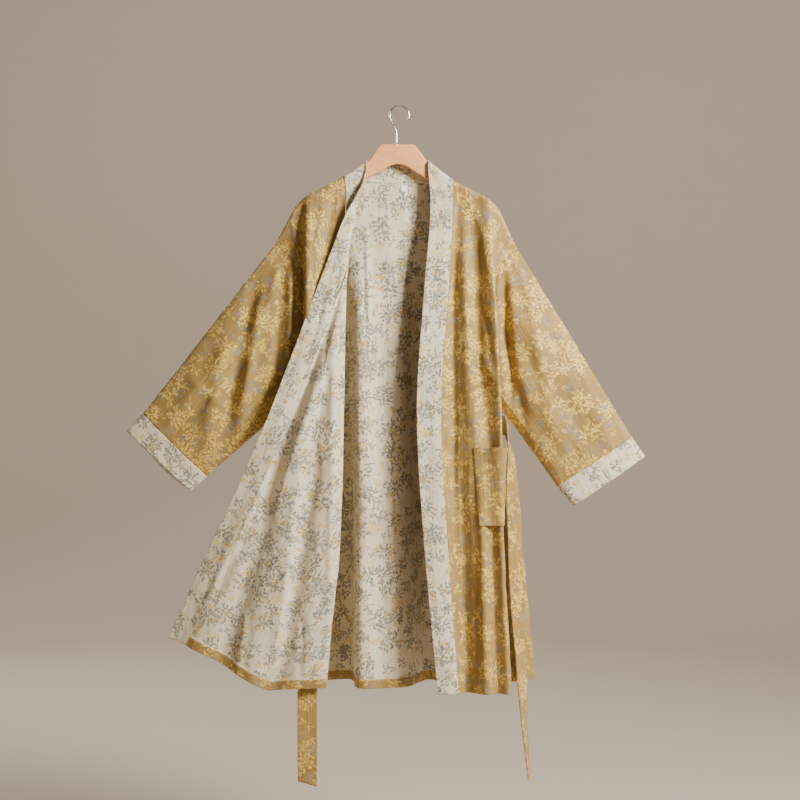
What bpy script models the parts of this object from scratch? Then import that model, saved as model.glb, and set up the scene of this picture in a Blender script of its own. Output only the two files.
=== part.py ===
"""Kimono bathrobe on a wooden hanger, one front turned open like a lapel.

Metres, +Z up, +X to the viewer's right, the robe's front faces -Y.
The origin is the inner top of the hook's bend, where a rail or peg carries it.
Left and right in names are the viewer's. Tables are in millimetres.
"""
import math

import bmesh
import bpy
import numpy as np
from mathutils import Vector

MM = 0.001

# Cloth and seams
CLOTH = 1.6 * MM            # one layer of double cloth
BAND = 2.6 * MM             # folded collar band
CUFF = 2.4 * MM
BELT_THICK = 3.0 * MM
SEAM_GAP = 0.3 * MM
ARMHOLE_GAP = 0.8 * MM      # the sleeve head turns away from the panels' edges
HALF_GAP = 0.15             # in mm, between each piece's edge and the seam line
EDGE_COLUMN = 3             # in mm, width of a panel's first and last column
# Where a band seam opens: by how much, at what height, and how far above and below
TURNED_SEAM_OPENS = (3.0, -300, 120)    # it crosses the roll
HANGING_SEAM_OPENS = (0.4, -149, 30)    # it goes over the shoulder
BAND_WIDTH = 46 * MM
BELT_WIDTH = 39 * MM

# Heights
NECK_SEAM_Z = -151 * MM     # back neck seam
ARMPIT_LEFT_Z = -584 * MM
ARMPIT_RIGHT_Z = -602 * MM
HEM_Z = -1165 * MM

# Hanger
BOARD_THICK = 13 * MM
BOARD_CENTRE_X = -4 * MM
BOARD_TOP_Z = -75.4 * MM
SHOULDER_ROLL = BOARD_THICK / 2 + 0.9 * MM   # inner radius of the cloth over the board's edge

# Shoulder ridge as the cloth's inner face follows it: x, z, from the hem of the left sleeve head
# over the neck to the right one
SHOULDER = (
    (-300, -372), (-247, -274), (-229, -240), (-207, -198), (-187, -179), (-169, -169),
    (-138, -154), (-117, -144), (-63, -109), (-37, -74), (29, -74), (57, -110), (106, -149),
    (149, -169), (179, -186), (199, -206), (215, -245), (235, -285), (290, -390))

# Armhole and side seams: z, x, y of the front's edge, y of the back's edge.
# Below the armpit the two edges are one side seam.
SEAM_LEFT = (
    (-230, -290, 0, 0), (-274, -247, -1, 1), (-302, -216, -8, 8), (-330, -201, -12, 12),
    (-400, -196, -14, 14), (-500, -197, -14, 14), (-560, -202, -9, 9), (-584, -205, 0, 0),
    (-640, -206, 2, 2), (-880, -198, 6, 6), (-1180, -186, 8, 8))
SEAM_RIGHT = (
    (-240, 278, 0, 0), (-285, 235, -1, 1), (-302, 212, -8, 8), (-322, 197, -12, 12),
    (-360, 189, -14, 14), (-480, 188, -14, 14), (-570, 196, -9, 9), (-602, 201, 0, 0),
    (-650, 205, 6, 6), (-880, 215, 40, 40), (-1180, 229, 84, 84))

# Crests and troughs that run down a panel: a name, then x and y at each of these heights
FOLD_HEIGHTS = (-100, -200, -350, -600, -880, -1180)
FRONT_FOLDS = (
    # name,          x at each height,                 y at each height
    ("band edge",   (55, 61, 50, 34, 49, 77),         (-9, -13, -22, -32, -42, -52)),
    ("band seam",   (106, 106, 98, 82, 95, 117),      (-9, -13, -22, -32, -40, -50)),
    ("trough one",  (118, 117, 110, 107, 123, 135),   (-9, -11, -16, -23, -22, -26)),
    ("crest one",   (136, 133, 130, 147, 163, 172),   (-9, -14, -25, -37, -47, -57)),
    ("trough two",  (152, 150, 146, 172, 184, 193),   (-9, -12, -18, -27, -34, -40)),
    ("crest two",   (172, 176, 186, 199, 203, 217),   (-9, -19, -37, -43, -47, -52)),
    ("arm groove",  (200, 196, 183, 195, 205, 219),   (-8, -10, -18, -14, 22, 62)),
)
BACK_FOLDS = (
    # from the left seam to the right one, seen from the front
    ("left groove", (-200, -196, -184, -190, -180, -168),  (8, 10, 20, 22, 34, 42)),
    ("left flute",  (-150, -150, -140, -140, -130, -128),  (9, 12, 28, 48, 70, 84)),
    ("left bulge",  (-90, -90, -80, -76, -74, -78),        (9, 11, 14, 20, 22, 24)),
    ("mid crest",   (-50, -46, -38, -30, -30, -32),        (9, 11, 14, 16, 12, 10)),
    ("mid bulge",   (0, 0, 4, 5, 10, 14),                  (9, 11, 17, 22, 24, 26)),
    ("deep flute",  (50, 50, 42, 40, 52, 62),              (9, 13, 34, 62, 88, 108)),
    ("hidden crest", (104, 104, 92, 88, 100, 116),         (9, 12, 26, 40, 54, 64)),
    ("right flute", (150, 150, 142, 142, 158, 176),        (9, 12, 32, 62, 96, 128)),
    ("side crest",  (196, 192, 176, 184, 248, 283),        (8, 10, 22, 27, 82, 124)),
    ("side lip",    (200, 197, 183, 190, 228, 252),        (8, 10, 18, 16, 60, 98)),
)

# The turned front: z, x of its roll line, roll radius, how far it has turned, width past the roll
TURN = (
    (-90, -60, 3, 0, 3), (-112, -66, 3, 14, 4), (-140, -70, 4, 52, 7), (-160, -73, 5, 88, 9),
    (-185, -79, 6, 128, 11), (-215, -87, 7, 160, 14), (-240, -92, 7, 175, 18),
    (-274, -98, 8, 180, 23), (-362, -104, 10, 180, 48), (-448, -106, 12, 180, 76),
    (-604, -109, 14, 180, 130), (-762, -112, 16, 180, 193), (-910, -119, 17, 180, 257),
    (-1060, -136, 18, 180, 307), (-1190, -147, 18, 180, 347))
# Its hem: share across from the band seam to the left seam, height
TURNED_HEM = ((0, -1073), (0.17, -1099), (0.35, -1131), (0.44, -1147), (0.52, -1159),
              (0.58, -1156), (0.66, -1153), (1, -1153))
BAND_TURNED_HEM = ((0, -1059), (1, -1073))
# Its hidden layer between the armhole groove and the roll
UNDER_FOLDS = (
    ("arm groove",  (-200, -196, -190, -196, -190, -182),  (-8, -11, -19, -15, -8, -4)),
    ("arm crest",   (-176, -178, -180, -184, -176, -170),  (-9, -18, -36, -34, -24, -18)),
)
ROLL_START_Y = (-9, -13, -22, -24, -20, -16)
# Long soft folds of the turned part: share of its width from the roll, width share, depth in mm
# towards the viewer where it is widest
FLAP_FOLDS = (
    ("roll side swell", 0.10, 0.07, 4),
    ("first trough",    0.25, 0.06, -6),
    ("main swell",      0.42, 0.10, 9),
    ("main trough",     0.60, 0.07, -8),
    ("edge swell",      0.78, 0.10, 6),
)

# Sleeve ends: x, z of the cuff seam and of the cuff's mouth, top and bottom
LEFT_ARM = dict(seam=((-512, -614), (-386, -737)), mouth=((-545, -648), (-419, -767)))
RIGHT_ARM = dict(seam=((463, -660), (316, -757)), mouth=((489, -700), (349, -797)))
# Neck seam beside each shoulder seam: how far in from it, how far below the ridge line
NECK_CORNER = ((0, 0), (3, 1.1), (6, 3.6), (9, 6.3), (14, 12), (22, 22))
NECK_CORNER_X = (-117, 106)
NECK_TOP_X = (-63, 57)      # where the collar band's free edge crosses the ridge
NECK_TOP_Z = -109

# Patch pocket on the hanging front
POCKET_TOP_Z, POCKET_FOOT_Z = -680 * MM, -834 * MM
POCKET_LEFT_X = 146 * MM    # its left edge at the top
POCKET_WIDTH = 148 * MM
POCKET_GAPE = 9 * MM

# Belt route from its left tip, up through the left loop, over the back, down to the right tip:
# x, y, z of its middle, and the plan angle and the tilt of its width in degrees
BELT_ROUTE = (
    (-182, -35, -1345, 0, -16), (-182, -36, -1250, 0, 0), (-182, -37, -1150, 0, 0),
    (-184, -40, -1010, 0, 0), (-194, -42, -930, 0, 0), (-212, -40, -850, 0, 0),
    (-224, -35, -795, 12, 0), (-225, -30, -745, 45, 0), (-219, -27, -700, 75, 0),
    (-214, -24, -664, 90, 0), (-213, -17, -647, 90, -45), (-213, 0, -640, 90, -90),
    (-213, 16, -639, 90, -90), (-206, 40, -640, 90, -90), (-180, 58, -643, 90, -90),
    (-138, 63, -647, 90, -90), (-60, 68, -655, 90, -90), (30, 73, -659, 90, -90),
    (100, 78, -655, 90, -90), (150, 79, -648, 90, -90), (188, 64, -642, 90, -90),
    (207, 38, -638, 90, -90), (212, 18, -637, 90, -90), (212, 0, -638, 90, -90),
    (213, -17, -645, 90, -45), (214, -23, -662, 90, 0), (220, -18, -690, 72, 0),
    (224, -3, -745, 52, 0), (230, 16, -815, 43, 0), (234, 32, -905, 40, 0),
    (240, 46, -1010, 41, 0), (247, 56, -1088, 48, 0), (251, 64, -1170, 57, 0),
    (257, 70, -1265, 72, 0), (266, 76, -1362, 82, 0))
LOOP_WIDTH = 8 * MM
LOOP_THICK = 1.2 * MM
# Belt loops: y, then x where the top is sewn, of the outer run and where the foot is sewn
LOOPS = {"belt_loop_left": (13, -204.2, -216.6, -204.7),
         "belt_loop_right": (14, 199.9, 216, 207.7)}
LABEL_X, LABEL_Z = (3 * MM, 15 * MM), (-155 * MM, -168 * MM)
LABEL_THICK = 0.6 * MM

SLEEVE_DEPTH = 22 * MM      # half depth of the sleeve halfway down
MOUTH_DEPTH = 13 * MM       # half depth at the cuff
# Sleeve folds: share across at the armhole, at the cuff, width share, depth in mm outwards
SLEEVE_FOLDS = (
    ("upper fold", 0.30, 0.22, 0.08, 5),
    ("upper trough", 0.46, 0.40, 0.07, -5),
    ("lower fold", 0.66, 0.62, 0.09, 5),
)

# Rows of a panel: shares of the way from its top edge to the armpit, then to the hem
UPPER_ROWS = (0, 0.0025, 0.008, 0.015, 0.035, 0.08, 0.15, 0.26, 0.40, 0.55, 0.70, 0.84, 0.94, 1)
LOWER_ROWS = (0.05, 0.14, 0.24, 0.34, 0.44, 0.54, 0.64, 0.74, 0.84, 0.93, 1)
ARMPIT_ROW = len(UPPER_ROWS) - 1
FRONT_COLUMNS, TURNED_COLUMNS, BACK_COLUMNS = 25, 33, 37
SLEEVE_ROWS, CUFF_ROWS, BELT_ROWS = 9, 4, 92

COLOURS = {
    "gold": (0.52, 0.34, 0.11),
    "off white": (0.76, 0.70, 0.60),
    "wood": (0.76, 0.47, 0.27),
    "steel": (0.60, 0.60, 0.58),
    "label": (0.85, 0.84, 0.80),
}


def clear_scene():
    for thing in list(bpy.data.objects):
        bpy.data.objects.remove(thing, do_unlink=True)


def make_material(name, rough=0.85, metal=0.0):
    """Principled material in one of the robe's colours."""
    material = bpy.data.materials.new(name)
    material.use_nodes = True
    shader = material.node_tree.nodes["Principled BSDF"]
    shader.inputs["Base Color"].default_value = (*COLOURS[name], 1)
    shader.inputs["Roughness"].default_value = rough
    shader.inputs["Metallic"].default_value = metal
    return material


def read_at(z, heights, values):
    """Cubic through values given at falling heights, with slopes from the neighbours."""
    rise = -np.asarray(heights, float)
    values = np.asarray(values, float)
    slopes = np.gradient(values, rise)
    at = np.clip(-np.asarray(z, float), rise[0], rise[-1])
    i = np.clip(np.searchsorted(rise, at) - 1, 0, len(rise) - 2)
    step = rise[i + 1] - rise[i]
    s = (at - rise[i]) / step
    return ((2 * s ** 3 - 3 * s ** 2 + 1) * values[i] + (s ** 3 - 2 * s ** 2 + s) * step * slopes[i]
            + (3 * s ** 2 - 2 * s ** 3) * values[i + 1] + (s ** 3 - s ** 2) * step * slopes[i + 1])


def straight_at(z, rows, column):
    """Straight reading of one column of a table whose first column is the height."""
    heights = [-row[0] for row in rows]
    return np.interp(-z, heights, [row[column] for row in rows])


def fold_points(folds, z):
    """Plan points of each crest and trough at height z, in mm."""
    return [(float(read_at(z, FOLD_HEIGHTS, xs)), float(read_at(z, FOLD_HEIGHTS, ys)))
            for _, xs, ys in folds]


def seam_point(rows, z, back):
    return float(straight_at(z, rows, 1)), float(straight_at(z, rows, 3 if back else 2))


def plan_curve(points, first, last, per_span=12):
    """Centripetal curve through plan points, kept from one of them to another.

    The points beyond only steer its ends, so that two pieces share a direction at their seam.
    """
    points = np.asarray(points, float)
    kept = []
    for i in range(first, last):
        p0, p1, p2, p3 = points[max(i - 1, 0)], points[i], points[i + 1], points[min(i + 2, len(points) - 1)]
        if i == 0:
            p0 = 2 * p1 - p2
        if i + 2 > len(points) - 1:
            p3 = 2 * p2 - p1
        knots = [0.0]
        for a, b in ((p0, p1), (p1, p2), (p2, p3)):
            knots.append(knots[-1] + max(np.linalg.norm(b - a), 0.01) ** 0.5)
        t0, t1, t2, t3 = knots
        t = np.linspace(t1, t2, per_span, endpoint=(i == last - 1))[:, None]
        a1 = (t1 - t) / (t1 - t0) * p0 + (t - t0) / (t1 - t0) * p1
        a2 = (t2 - t) / (t2 - t1) * p1 + (t - t1) / (t2 - t1) * p2
        a3 = (t3 - t) / (t3 - t2) * p2 + (t - t2) / (t3 - t2) * p3
        b1 = (t2 - t) / (t2 - t0) * a1 + (t - t0) / (t2 - t0) * a2
        b2 = (t3 - t) / (t3 - t1) * a2 + (t - t1) / (t3 - t1) * a3
        kept.append((t2 - t) / (t2 - t1) * b1 + (t - t1) / (t2 - t1) * b2)
    return np.concatenate(kept)


def lengths_along(curve):
    steps = np.linalg.norm(np.diff(curve, axis=0), axis=1)
    return np.concatenate([[0.0], np.cumsum(steps)])


def cut_curve(curve, shares, stations, count):
    """Points along a curve, whose lengths run straight between stations at given shares."""
    lengths = lengths_along(curve)
    at = np.interp(np.linspace(0, 1, count), shares, stations)
    return np.stack([np.interp(at, lengths, curve[:, 0]), np.interp(at, lengths, curve[:, 1])], 1)


def right_front_curve(z):
    """Hanging front from the band's free edge to the right seam, and the length to the band seam."""
    folds = fold_points(FRONT_FOLDS, z)
    seam = seam_point(SEAM_RIGHT, z, back=False)
    if z > ARMPIT_RIGHT_Z / MM:
        beyond = (seam[0] + 26, seam[1] - 3)
    else:
        beyond = fold_points(BACK_FOLDS, z)[-1]
    points = folds + [seam, beyond]
    band = plan_curve(points, 0, 1)
    return plan_curve(points, 0, len(points) - 2), lengths_along(band)[-1]


def back_curve(z):
    """Back from the left seam to the right one."""
    left = seam_point(SEAM_LEFT, z, back=True)
    right = seam_point(SEAM_RIGHT, z, back=True)
    under = fold_points(UNDER_FOLDS, z)[0]
    front = fold_points(FRONT_FOLDS, z)[-1]
    before = (left[0] - 26, left[1] + 3) if z > ARMPIT_LEFT_Z / MM else under
    after = (right[0] + 26, right[1] + 3) if z > ARMPIT_RIGHT_Z / MM else front
    points = [before, left] + fold_points(BACK_FOLDS, z) + [right, after]
    return plan_curve(points, 1, len(points) - 2)


def turned_front_curve(z):
    """Turned front from its free edge over the roll to the left seam."""
    roll_x, radius, degrees, width = (float(straight_at(z, TURN, k)) for k in (1, 2, 3, 4))
    angle = math.radians(degrees)
    start = (roll_x - radius, float(read_at(z, FOLD_HEIGHTS, ROLL_START_Y)))
    centre = (start[0], start[1] - radius)
    arc = [(centre[0] + radius * math.sin(angle * k / 3), centre[1] + radius * math.cos(angle * k / 3))
           for k in range(4)]
    heading = (math.cos(angle), -math.sin(angle))
    facing = (math.sin(angle), math.cos(angle))
    fullness = min(max((width - 30) / 250, 0), 1)
    flap = []
    for share in np.linspace(0, 1, 22)[1:]:
        lift = sum(depth * math.exp(-((share - middle) / spread) ** 2)
                   for _, middle, spread, depth in FLAP_FOLDS) * fullness
        flap.append((arc[-1][0] + heading[0] * width * share + facing[0] * lift,
                     arc[-1][1] + heading[1] * width * share + facing[1] * lift))
    folds = fold_points(UNDER_FOLDS, z)
    seam = seam_point(SEAM_LEFT, z, back=False)
    if z > ARMPIT_LEFT_Z / MM:
        beyond = (seam[0] - 26, seam[1] - 3)
    else:
        beyond = fold_points(BACK_FOLDS, z)[0]
    points = flap[::-1] + arc[::-1] + folds[::-1] + [seam, beyond]
    return plan_curve(points, 0, len(points) - 2, per_span=6)


def edge_stations(start, stop):
    """Stations that keep the first and last column narrow, so that a seam's walls face alike."""
    return start, start + EDGE_COLUMN, stop - EDGE_COLUMN, stop


def edge_shares(columns):
    step = 1 / (columns - 1)
    return 0, step, 1 - step, 1


def hanging_stations(z, total):
    """Lengths of the hanging front's edges; the band seam opens a little over the shoulder."""
    opening, at, reach = HANGING_SEAM_OPENS
    over = opening * max(0, 1 - abs(z - at) / reach)
    return edge_stations(right_front_curve(z)[1] + HALF_GAP + over, total - HALF_GAP)


def turned_stations(z, total):
    """Lengths from the free edge: band seam, before, at and after the roll, left seam."""
    radius, degrees, width = (float(straight_at(z, TURN, k)) for k in (2, 3, 4))
    opening, at, reach = TURNED_SEAM_OPENS
    start = BAND_WIDTH / MM + HALF_GAP + opening * max(0, 1 - abs(z - at) / reach)
    stop = total - HALF_GAP
    tip = width + radius * math.radians(degrees) / 2
    before = max(tip - 1.5 * radius, start + 0.10 * (stop - start))
    at_tip = max(tip, before + 0.04 * (stop - start))
    after = max(tip + 1.5 * radius, at_tip + 0.04 * (stop - start))
    return start, start + EDGE_COLUMN, before, at_tip, after, stop - EDGE_COLUMN, stop


class Drape:
    """Plan curves of one piece down its height; a call reads a point at a share across and a height."""

    def __init__(self, curve_at, stations_at, shares=(0, 1)):
        self.heights = np.linspace(-90, -1190, 276)
        rows = []
        for z in self.heights:
            curve = curve_at(z)
            total = lengths_along(curve)[-1]
            rows.append(cut_curve(curve, shares, stations_at(z, total), 161))
        self.rows = np.array(rows) * MM

    def plan(self, share, z):
        level = np.clip((z / MM - self.heights[0]) / (self.heights[1] - self.heights[0]), 0,
                        len(self.heights) - 1.001)
        column = np.clip(share * (self.rows.shape[1] - 1), 0, self.rows.shape[1] - 1.001)
        i, j = int(level), int(column)
        a, b = level - i, column - j
        return ((1 - a) * ((1 - b) * self.rows[i, j] + b * self.rows[i, j + 1])
                + a * ((1 - b) * self.rows[i + 1, j] + b * self.rows[i + 1, j + 1]))

    def __call__(self, share, z):
        x, y = self.plan(share, z)
        return over_shoulder(x, y, z)

    def share_at(self, x, z):
        """First share at which the run passes x."""
        shares = np.linspace(0, 1, 400)
        return next(share for share in shares if self.plan(share, z)[0] >= x)


def shoulder_z(x):
    return np.interp(x / MM, [row[0] for row in SHOULDER], [row[1] for row in SHOULDER]) * MM


def over_shoulder(x, y, z):
    """Point of a panel, brought in to the shoulder ridge in a quarter round at its top."""
    drop = min(max((shoulder_z(x) - z) / SHOULDER_ROLL, 0), 1)
    return np.array((x, y * math.sqrt(1 - (1 - drop) ** 2), z))


def top_of(drape, share):
    """Height at which a column meets the shoulder ridge."""
    above, below = -0.095, -0.32
    for _ in range(30):
        middle = (above + below) / 2
        if shoulder_z(drape.plan(share, middle)[0]) > middle:
            below = middle
        else:
            above = middle
    return below


def panel(drape, shares, armpit_at, hem_at, top_at=None):
    """Grid of points: a column at each share, rows from the top edge to the hem."""
    grid = []
    for share in shares:
        top = top_of(drape, share)
        if top_at:
            top = top_at(drape(share, top)[0], top)
        armpit, hem = armpit_at(share), hem_at(share)
        heights = [top + (armpit - top) * f for f in UPPER_ROWS]
        heights += [armpit + (hem - armpit) * f for f in LOWER_ROWS]
        grid.append([drape(share, z) for z in heights])
    return np.array(grid).transpose(1, 0, 2)


def from_table(rows, share):
    return np.interp(share, [row[0] for row in rows], [row[1] for row in rows]) * MM


def add_object(name, mesh, material, collection):
    thing = bpy.data.objects.new(name, mesh)
    mesh.materials.append(material)
    mesh.shade_smooth()
    collection.objects.link(thing)
    return thing


def cloth(name, grid, thickness, material, collection, around=False, flip=False):
    """Wall of cloth: the grid is its inner face and the thickness goes outwards."""
    rows, columns = grid.shape[:2]
    index = np.arange(rows * columns).reshape(rows, columns)
    if around:
        index = np.concatenate([index, index[:, :1]], axis=1)
    faces = np.stack([index[:-1, :-1], index[1:, :-1], index[1:, 1:], index[:-1, 1:]], -1).reshape(-1, 4)
    if flip:
        faces = faces[:, ::-1]
    mesh = bpy.data.meshes.new(name)
    mesh.from_pydata(grid.reshape(-1, 3).tolist(), [], faces.tolist())
    thing = add_object(name, mesh, material, collection)
    wall = thing.modifiers.new("Wall", "SOLIDIFY")
    wall.thickness = thickness
    wall.offset = 1
    return thing


def sleeve_rings(front_edge, back_edge, arm):
    """Sleeve and cuff grids between an armhole and its cuff.

    The armhole ring is the two panels' edges. Each ring moves in a straight line towards the
    cuff seam's flat oval, with a swell in depth half way and the folds across its two faces.
    """
    keep = ARMPIT_ROW
    top = (front_edge[0] + back_edge[0]) / 2
    foot = (front_edge[keep] + back_edge[keep]) / 2
    ring = [top] + list(front_edge[1:keep]) + [foot] + list(back_edge[1:keep][::-1])
    ring = np.array(ring)
    share = np.linalg.norm(ring - top, axis=1) / np.linalg.norm(foot - top)
    share = np.clip(share, 0, 1)
    outward = math.copysign(1, arm["seam"][0][0])
    ring += np.outer(share ** 20, (1.2 * outward, 0, 3.4)) * MM     # clear of the side seam
    face = np.array([0.0] + [-1.0] * (keep - 1) + [0.0] + [1.0] * (keep - 1))

    def oval(ends, depth):
        high, low = (np.array((x, 0, z)) * MM for x, z in ends)
        points = high + (low - high) * share[:, None]
        points[:, 1] = face * depth * np.sqrt(4 * share * (1 - share) + 1e-9)
        return points

    seam = oval(arm["seam"], MOUTH_DEPTH + 2 * MM)
    rows = []
    start = ARMHOLE_GAP / np.linalg.norm(seam - ring, axis=1).min()
    for s in np.linspace(start, 1, SLEEVE_ROWS):
        points = ring + (seam - ring) * s
        swell = SLEEVE_DEPTH * 0.9 * math.sin(math.pi * s) * np.sqrt(4 * share * (1 - share) + 1e-9)
        folds = np.zeros(len(share))
        for _, at_arm, at_cuff, spread, depth in SLEEVE_FOLDS:
            middle = at_arm + (at_cuff - at_arm) * s
            folds += depth * MM * np.exp(-((share - middle) / spread) ** 2)
        points[:, 1] += face * (swell * 0.6 + folds * math.sin(math.pi * min(s, 0.97)) ** 0.7)
        rows.append(points)
    mouth = oval(arm["mouth"], MOUTH_DEPTH)
    begin = SEAM_GAP / np.linalg.norm(mouth - seam, axis=1).min()
    cuff = [seam + (mouth - seam) * s for s in np.linspace(begin, 1, CUFF_ROWS)]
    return np.array(rows), np.array(cuff)


def belt_strip():
    """Belt as a strip: a smooth curve through its route, its width turned along the way."""
    route = np.array(BELT_ROUTE, float)
    reach = np.concatenate([[0], np.cumsum(np.linalg.norm(np.diff(route[:, :3], axis=0), axis=1))])
    slopes = np.gradient(route, reach, axis=0)
    at = np.linspace(0, reach[-1], BELT_ROWS)
    i = np.clip(np.searchsorted(reach, at) - 1, 0, len(reach) - 2)
    step = (reach[i + 1] - reach[i])[:, None]
    s = ((at - reach[i])[:, None]) / step
    rows = ((2 * s ** 3 - 3 * s ** 2 + 1) * route[i] + (s ** 3 - 2 * s ** 2 + s) * step * slopes[i]
            + (3 * s ** 2 - 2 * s ** 3) * route[i + 1] + (s ** 3 - s ** 2) * step * slopes[i + 1])
    turn, tilt = np.radians(rows[:, 3]), np.radians(rows[:, 4])
    side = np.stack([np.cos(turn) * np.cos(tilt), np.sin(turn) * np.cos(tilt), np.sin(tilt)], 1)
    middle = rows[:, :3] * MM
    half = side * BELT_WIDTH / 2
    return np.stack([middle - half, middle + half], 1)


def loop_strip(y, top_x, outer_x, foot_x):
    """Belt loop: a narrow strip sewn to the side above and below the belt."""
    profile = ((top_x, -609), ((top_x + outer_x) / 2, -611), (outer_x, -615), (outer_x, -662),
               ((foot_x + outer_x) / 2, -666), (foot_x, -668))
    return np.array([[(x * MM, y * MM + side * LOOP_WIDTH / 2, z * MM) for side in (-1, 1)]
                     for x, z in profile])


def neck_top(x, ridge):
    """Height of the back's top edge: the neck seam between the shoulder seams."""
    inside = min(x / MM - NECK_CORNER_X[0], NECK_CORNER_X[1] - x / MM)
    if inside <= 0:
        return ridge
    drop = np.interp(inside, [row[0] for row in NECK_CORNER], [row[1] for row in NECK_CORNER])
    return max(shoulder_z(x) - drop * MM, NECK_SEAM_Z) if inside < 22 else NECK_SEAM_Z


def neck_band_grid():
    """Collar band behind the neck: columns from the left ridge line to the right one."""
    left_foot, right_foot = NECK_CORNER_X
    left_top, right_top = NECK_TOP_X
    columns = []
    for inside, drop in NECK_CORNER:
        columns.append((left_foot + inside, left_top + 0.8 * drop))
    columns += [(foot, foot * 0.52) for foot in (-70, -35, 0, 35, 62)]
    for inside, drop in NECK_CORNER[::-1]:
        columns.append((right_foot - inside, right_top - 0.8 * drop))
    grid = []
    for foot_x, top_x in columns:
        foot_z = neck_top(foot_x * MM, shoulder_z(foot_x * MM)) / MM + SEAM_GAP / MM
        top_z = min(NECK_TOP_Z, shoulder_z(top_x * MM) / MM)
        column = []
        for share in (0, 0.34, 0.67, 1):
            x = (foot_x + (top_x - foot_x) * share) * MM
            z = (foot_z + (top_z - foot_z) * share) * MM
            column.append(over_shoulder(x, 9.5 * MM, z))
        grid.append(column)
    return np.array(grid).transpose(1, 0, 2)


def pocket_grid(grid):
    """Patch pocket: the front's own points moved out past its wall, with a gaping mouth."""
    heights = grid[ARMPIT_ROW:, 0, 2]
    inside = [z for z in heights if POCKET_FOOT_Z < z < POCKET_TOP_Z]
    rows = []
    for z in [POCKET_TOP_Z, POCKET_TOP_Z - 18 * MM] + inside + [POCKET_FOOT_Z]:
        k = min(np.searchsorted(-heights, -z), len(heights) - 1)
        share = (heights[k - 1] - z) / (heights[k - 1] - heights[k])
        line = grid[ARMPIT_ROW + k - 1] * (1 - share) + grid[ARMPIT_ROW + k] * share
        rows.append((z, line))
    top = rows[0][1]
    first = np.interp(POCKET_LEFT_X, top[:12, 0], np.arange(12))
    lengths = lengths_along(top)
    last = np.interp(np.interp(first, np.arange(len(top)), lengths) + POCKET_WIDTH,
                     lengths, np.arange(len(top)))
    columns = np.array([first, *range(math.ceil(first), math.floor(last) + 1), last])
    across = (columns - first) / (last - first)
    result = []
    for z, line in rows:
        down = (POCKET_TOP_Z - z) / (POCKET_TOP_Z - POCKET_FOOT_Z)
        runs = np.diff(line[:, :2], axis=0)
        normals = np.stack([runs[:, 1], -runs[:, 0]], 1) / np.linalg.norm(runs, axis=1)[:, None]
        before, after = np.vstack([normals[:1], normals]), np.vstack([normals, normals[-1:]])
        mitre = (before + after) / (1 + (before * after).sum(1))[:, None]
        at = np.arange(len(line))
        place = np.stack([np.interp(columns, at, line[:, axis]) for axis in range(3)], 1)
        out = np.stack([np.interp(columns, at, mitre[:, axis]) for axis in range(2)], 1)
        gape = POCKET_GAPE * (1 - down) ** 3 * np.exp(-((across - 0.45) / 0.22) ** 2)
        place[:, :2] += out * (CLOTH + SEAM_GAP + gape)[:, None]
        result.append(place)
    return np.array(result)


def board(collection, material):
    """Flat wooden hanger: one outline, as thick as the board, with rounded edges."""
    left_end, right_end = -186, 177
    ridge = [(x, z - 1.4) for x, z in SHOULDER if left_end < x < right_end]
    ridge[0:0] = [(left_end, float(shoulder_z(left_end * MM)) / MM - 5)]
    ridge.append((right_end, float(shoulder_z(right_end * MM)) / MM - 5))
    under = [(right_end - 2, -212), (150, -196), (104, -172), (57, -147), (30, -130), (12, -118),
             (-5, -114), (-20, -118), (-38, -129), (-67, -143), (-112, -167), (-160, -190),
             (left_end + 2, -206)]
    mesh = bpy.data.meshes.new("hanger_board")
    shape = bmesh.new()
    corners = [shape.verts.new((x * MM, 0, z * MM)) for x, z in ridge + under]
    shape.faces.new(corners[::-1])
    shape.to_mesh(mesh)
    shape.free()
    thing = add_object("hanger_board", mesh, material, collection)
    wall = thing.modifiers.new("Thickness", "SOLIDIFY")
    wall.thickness = BOARD_THICK
    wall.offset = 0
    edge = thing.modifiers.new("Rounded edges", "BEVEL")
    edge.width = 3 * MM
    edge.segments = 2
    edge.limit_method = "ANGLE"
    edge.angle_limit = math.radians(60)
    return thing


def hook(collection, material):
    """Bent wire hook whose inner top is the origin."""
    wire = 1.7 * MM
    loop = 19.5 * MM
    centre = Vector((0, 0, -loop + wire))
    start, end = math.radians(-25), math.radians(205)
    turns = [end + (start - end) * k / 22 for k in range(23)]
    bend = [centre + Vector((loop * math.cos(a), 0, loop * math.sin(a))) for a in turns]
    stem_x = BOARD_CENTRE_X - 2 * MM
    stem = [Vector((stem_x, 0, BOARD_TOP_Z + SEAM_GAP)), Vector((stem_x, 0, -58 * MM)),
            Vector((stem_x - 1 * MM, 0, -47 * MM)), Vector((stem_x - 6 * MM, 0, -36 * MM))]
    curve = bpy.data.curves.new("hanger_hook", "CURVE")
    curve.dimensions = "3D"
    curve.bevel_depth = wire
    curve.bevel_resolution = 2
    curve.use_fill_caps = True
    route = stem + bend
    line = curve.splines.new("POLY")
    line.points.add(len(route) - 1)
    for point, place in zip(line.points, route):
        point.co = (*place, 1)
    curve.materials.append(material)
    thing = bpy.data.objects.new("hanger_hook", curve)
    collection.objects.link(thing)
    return thing


clear_scene()
robe = bpy.data.collections.new("kimono_bathrobe")
bpy.context.scene.collection.children.link(robe)
gold = make_material("gold", 0.7)
pale = make_material("off white", 0.8)
wood = make_material("wood", 0.55)
steel = make_material("steel", 0.3, 1.0)
white = make_material("label", 0.8)

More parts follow.
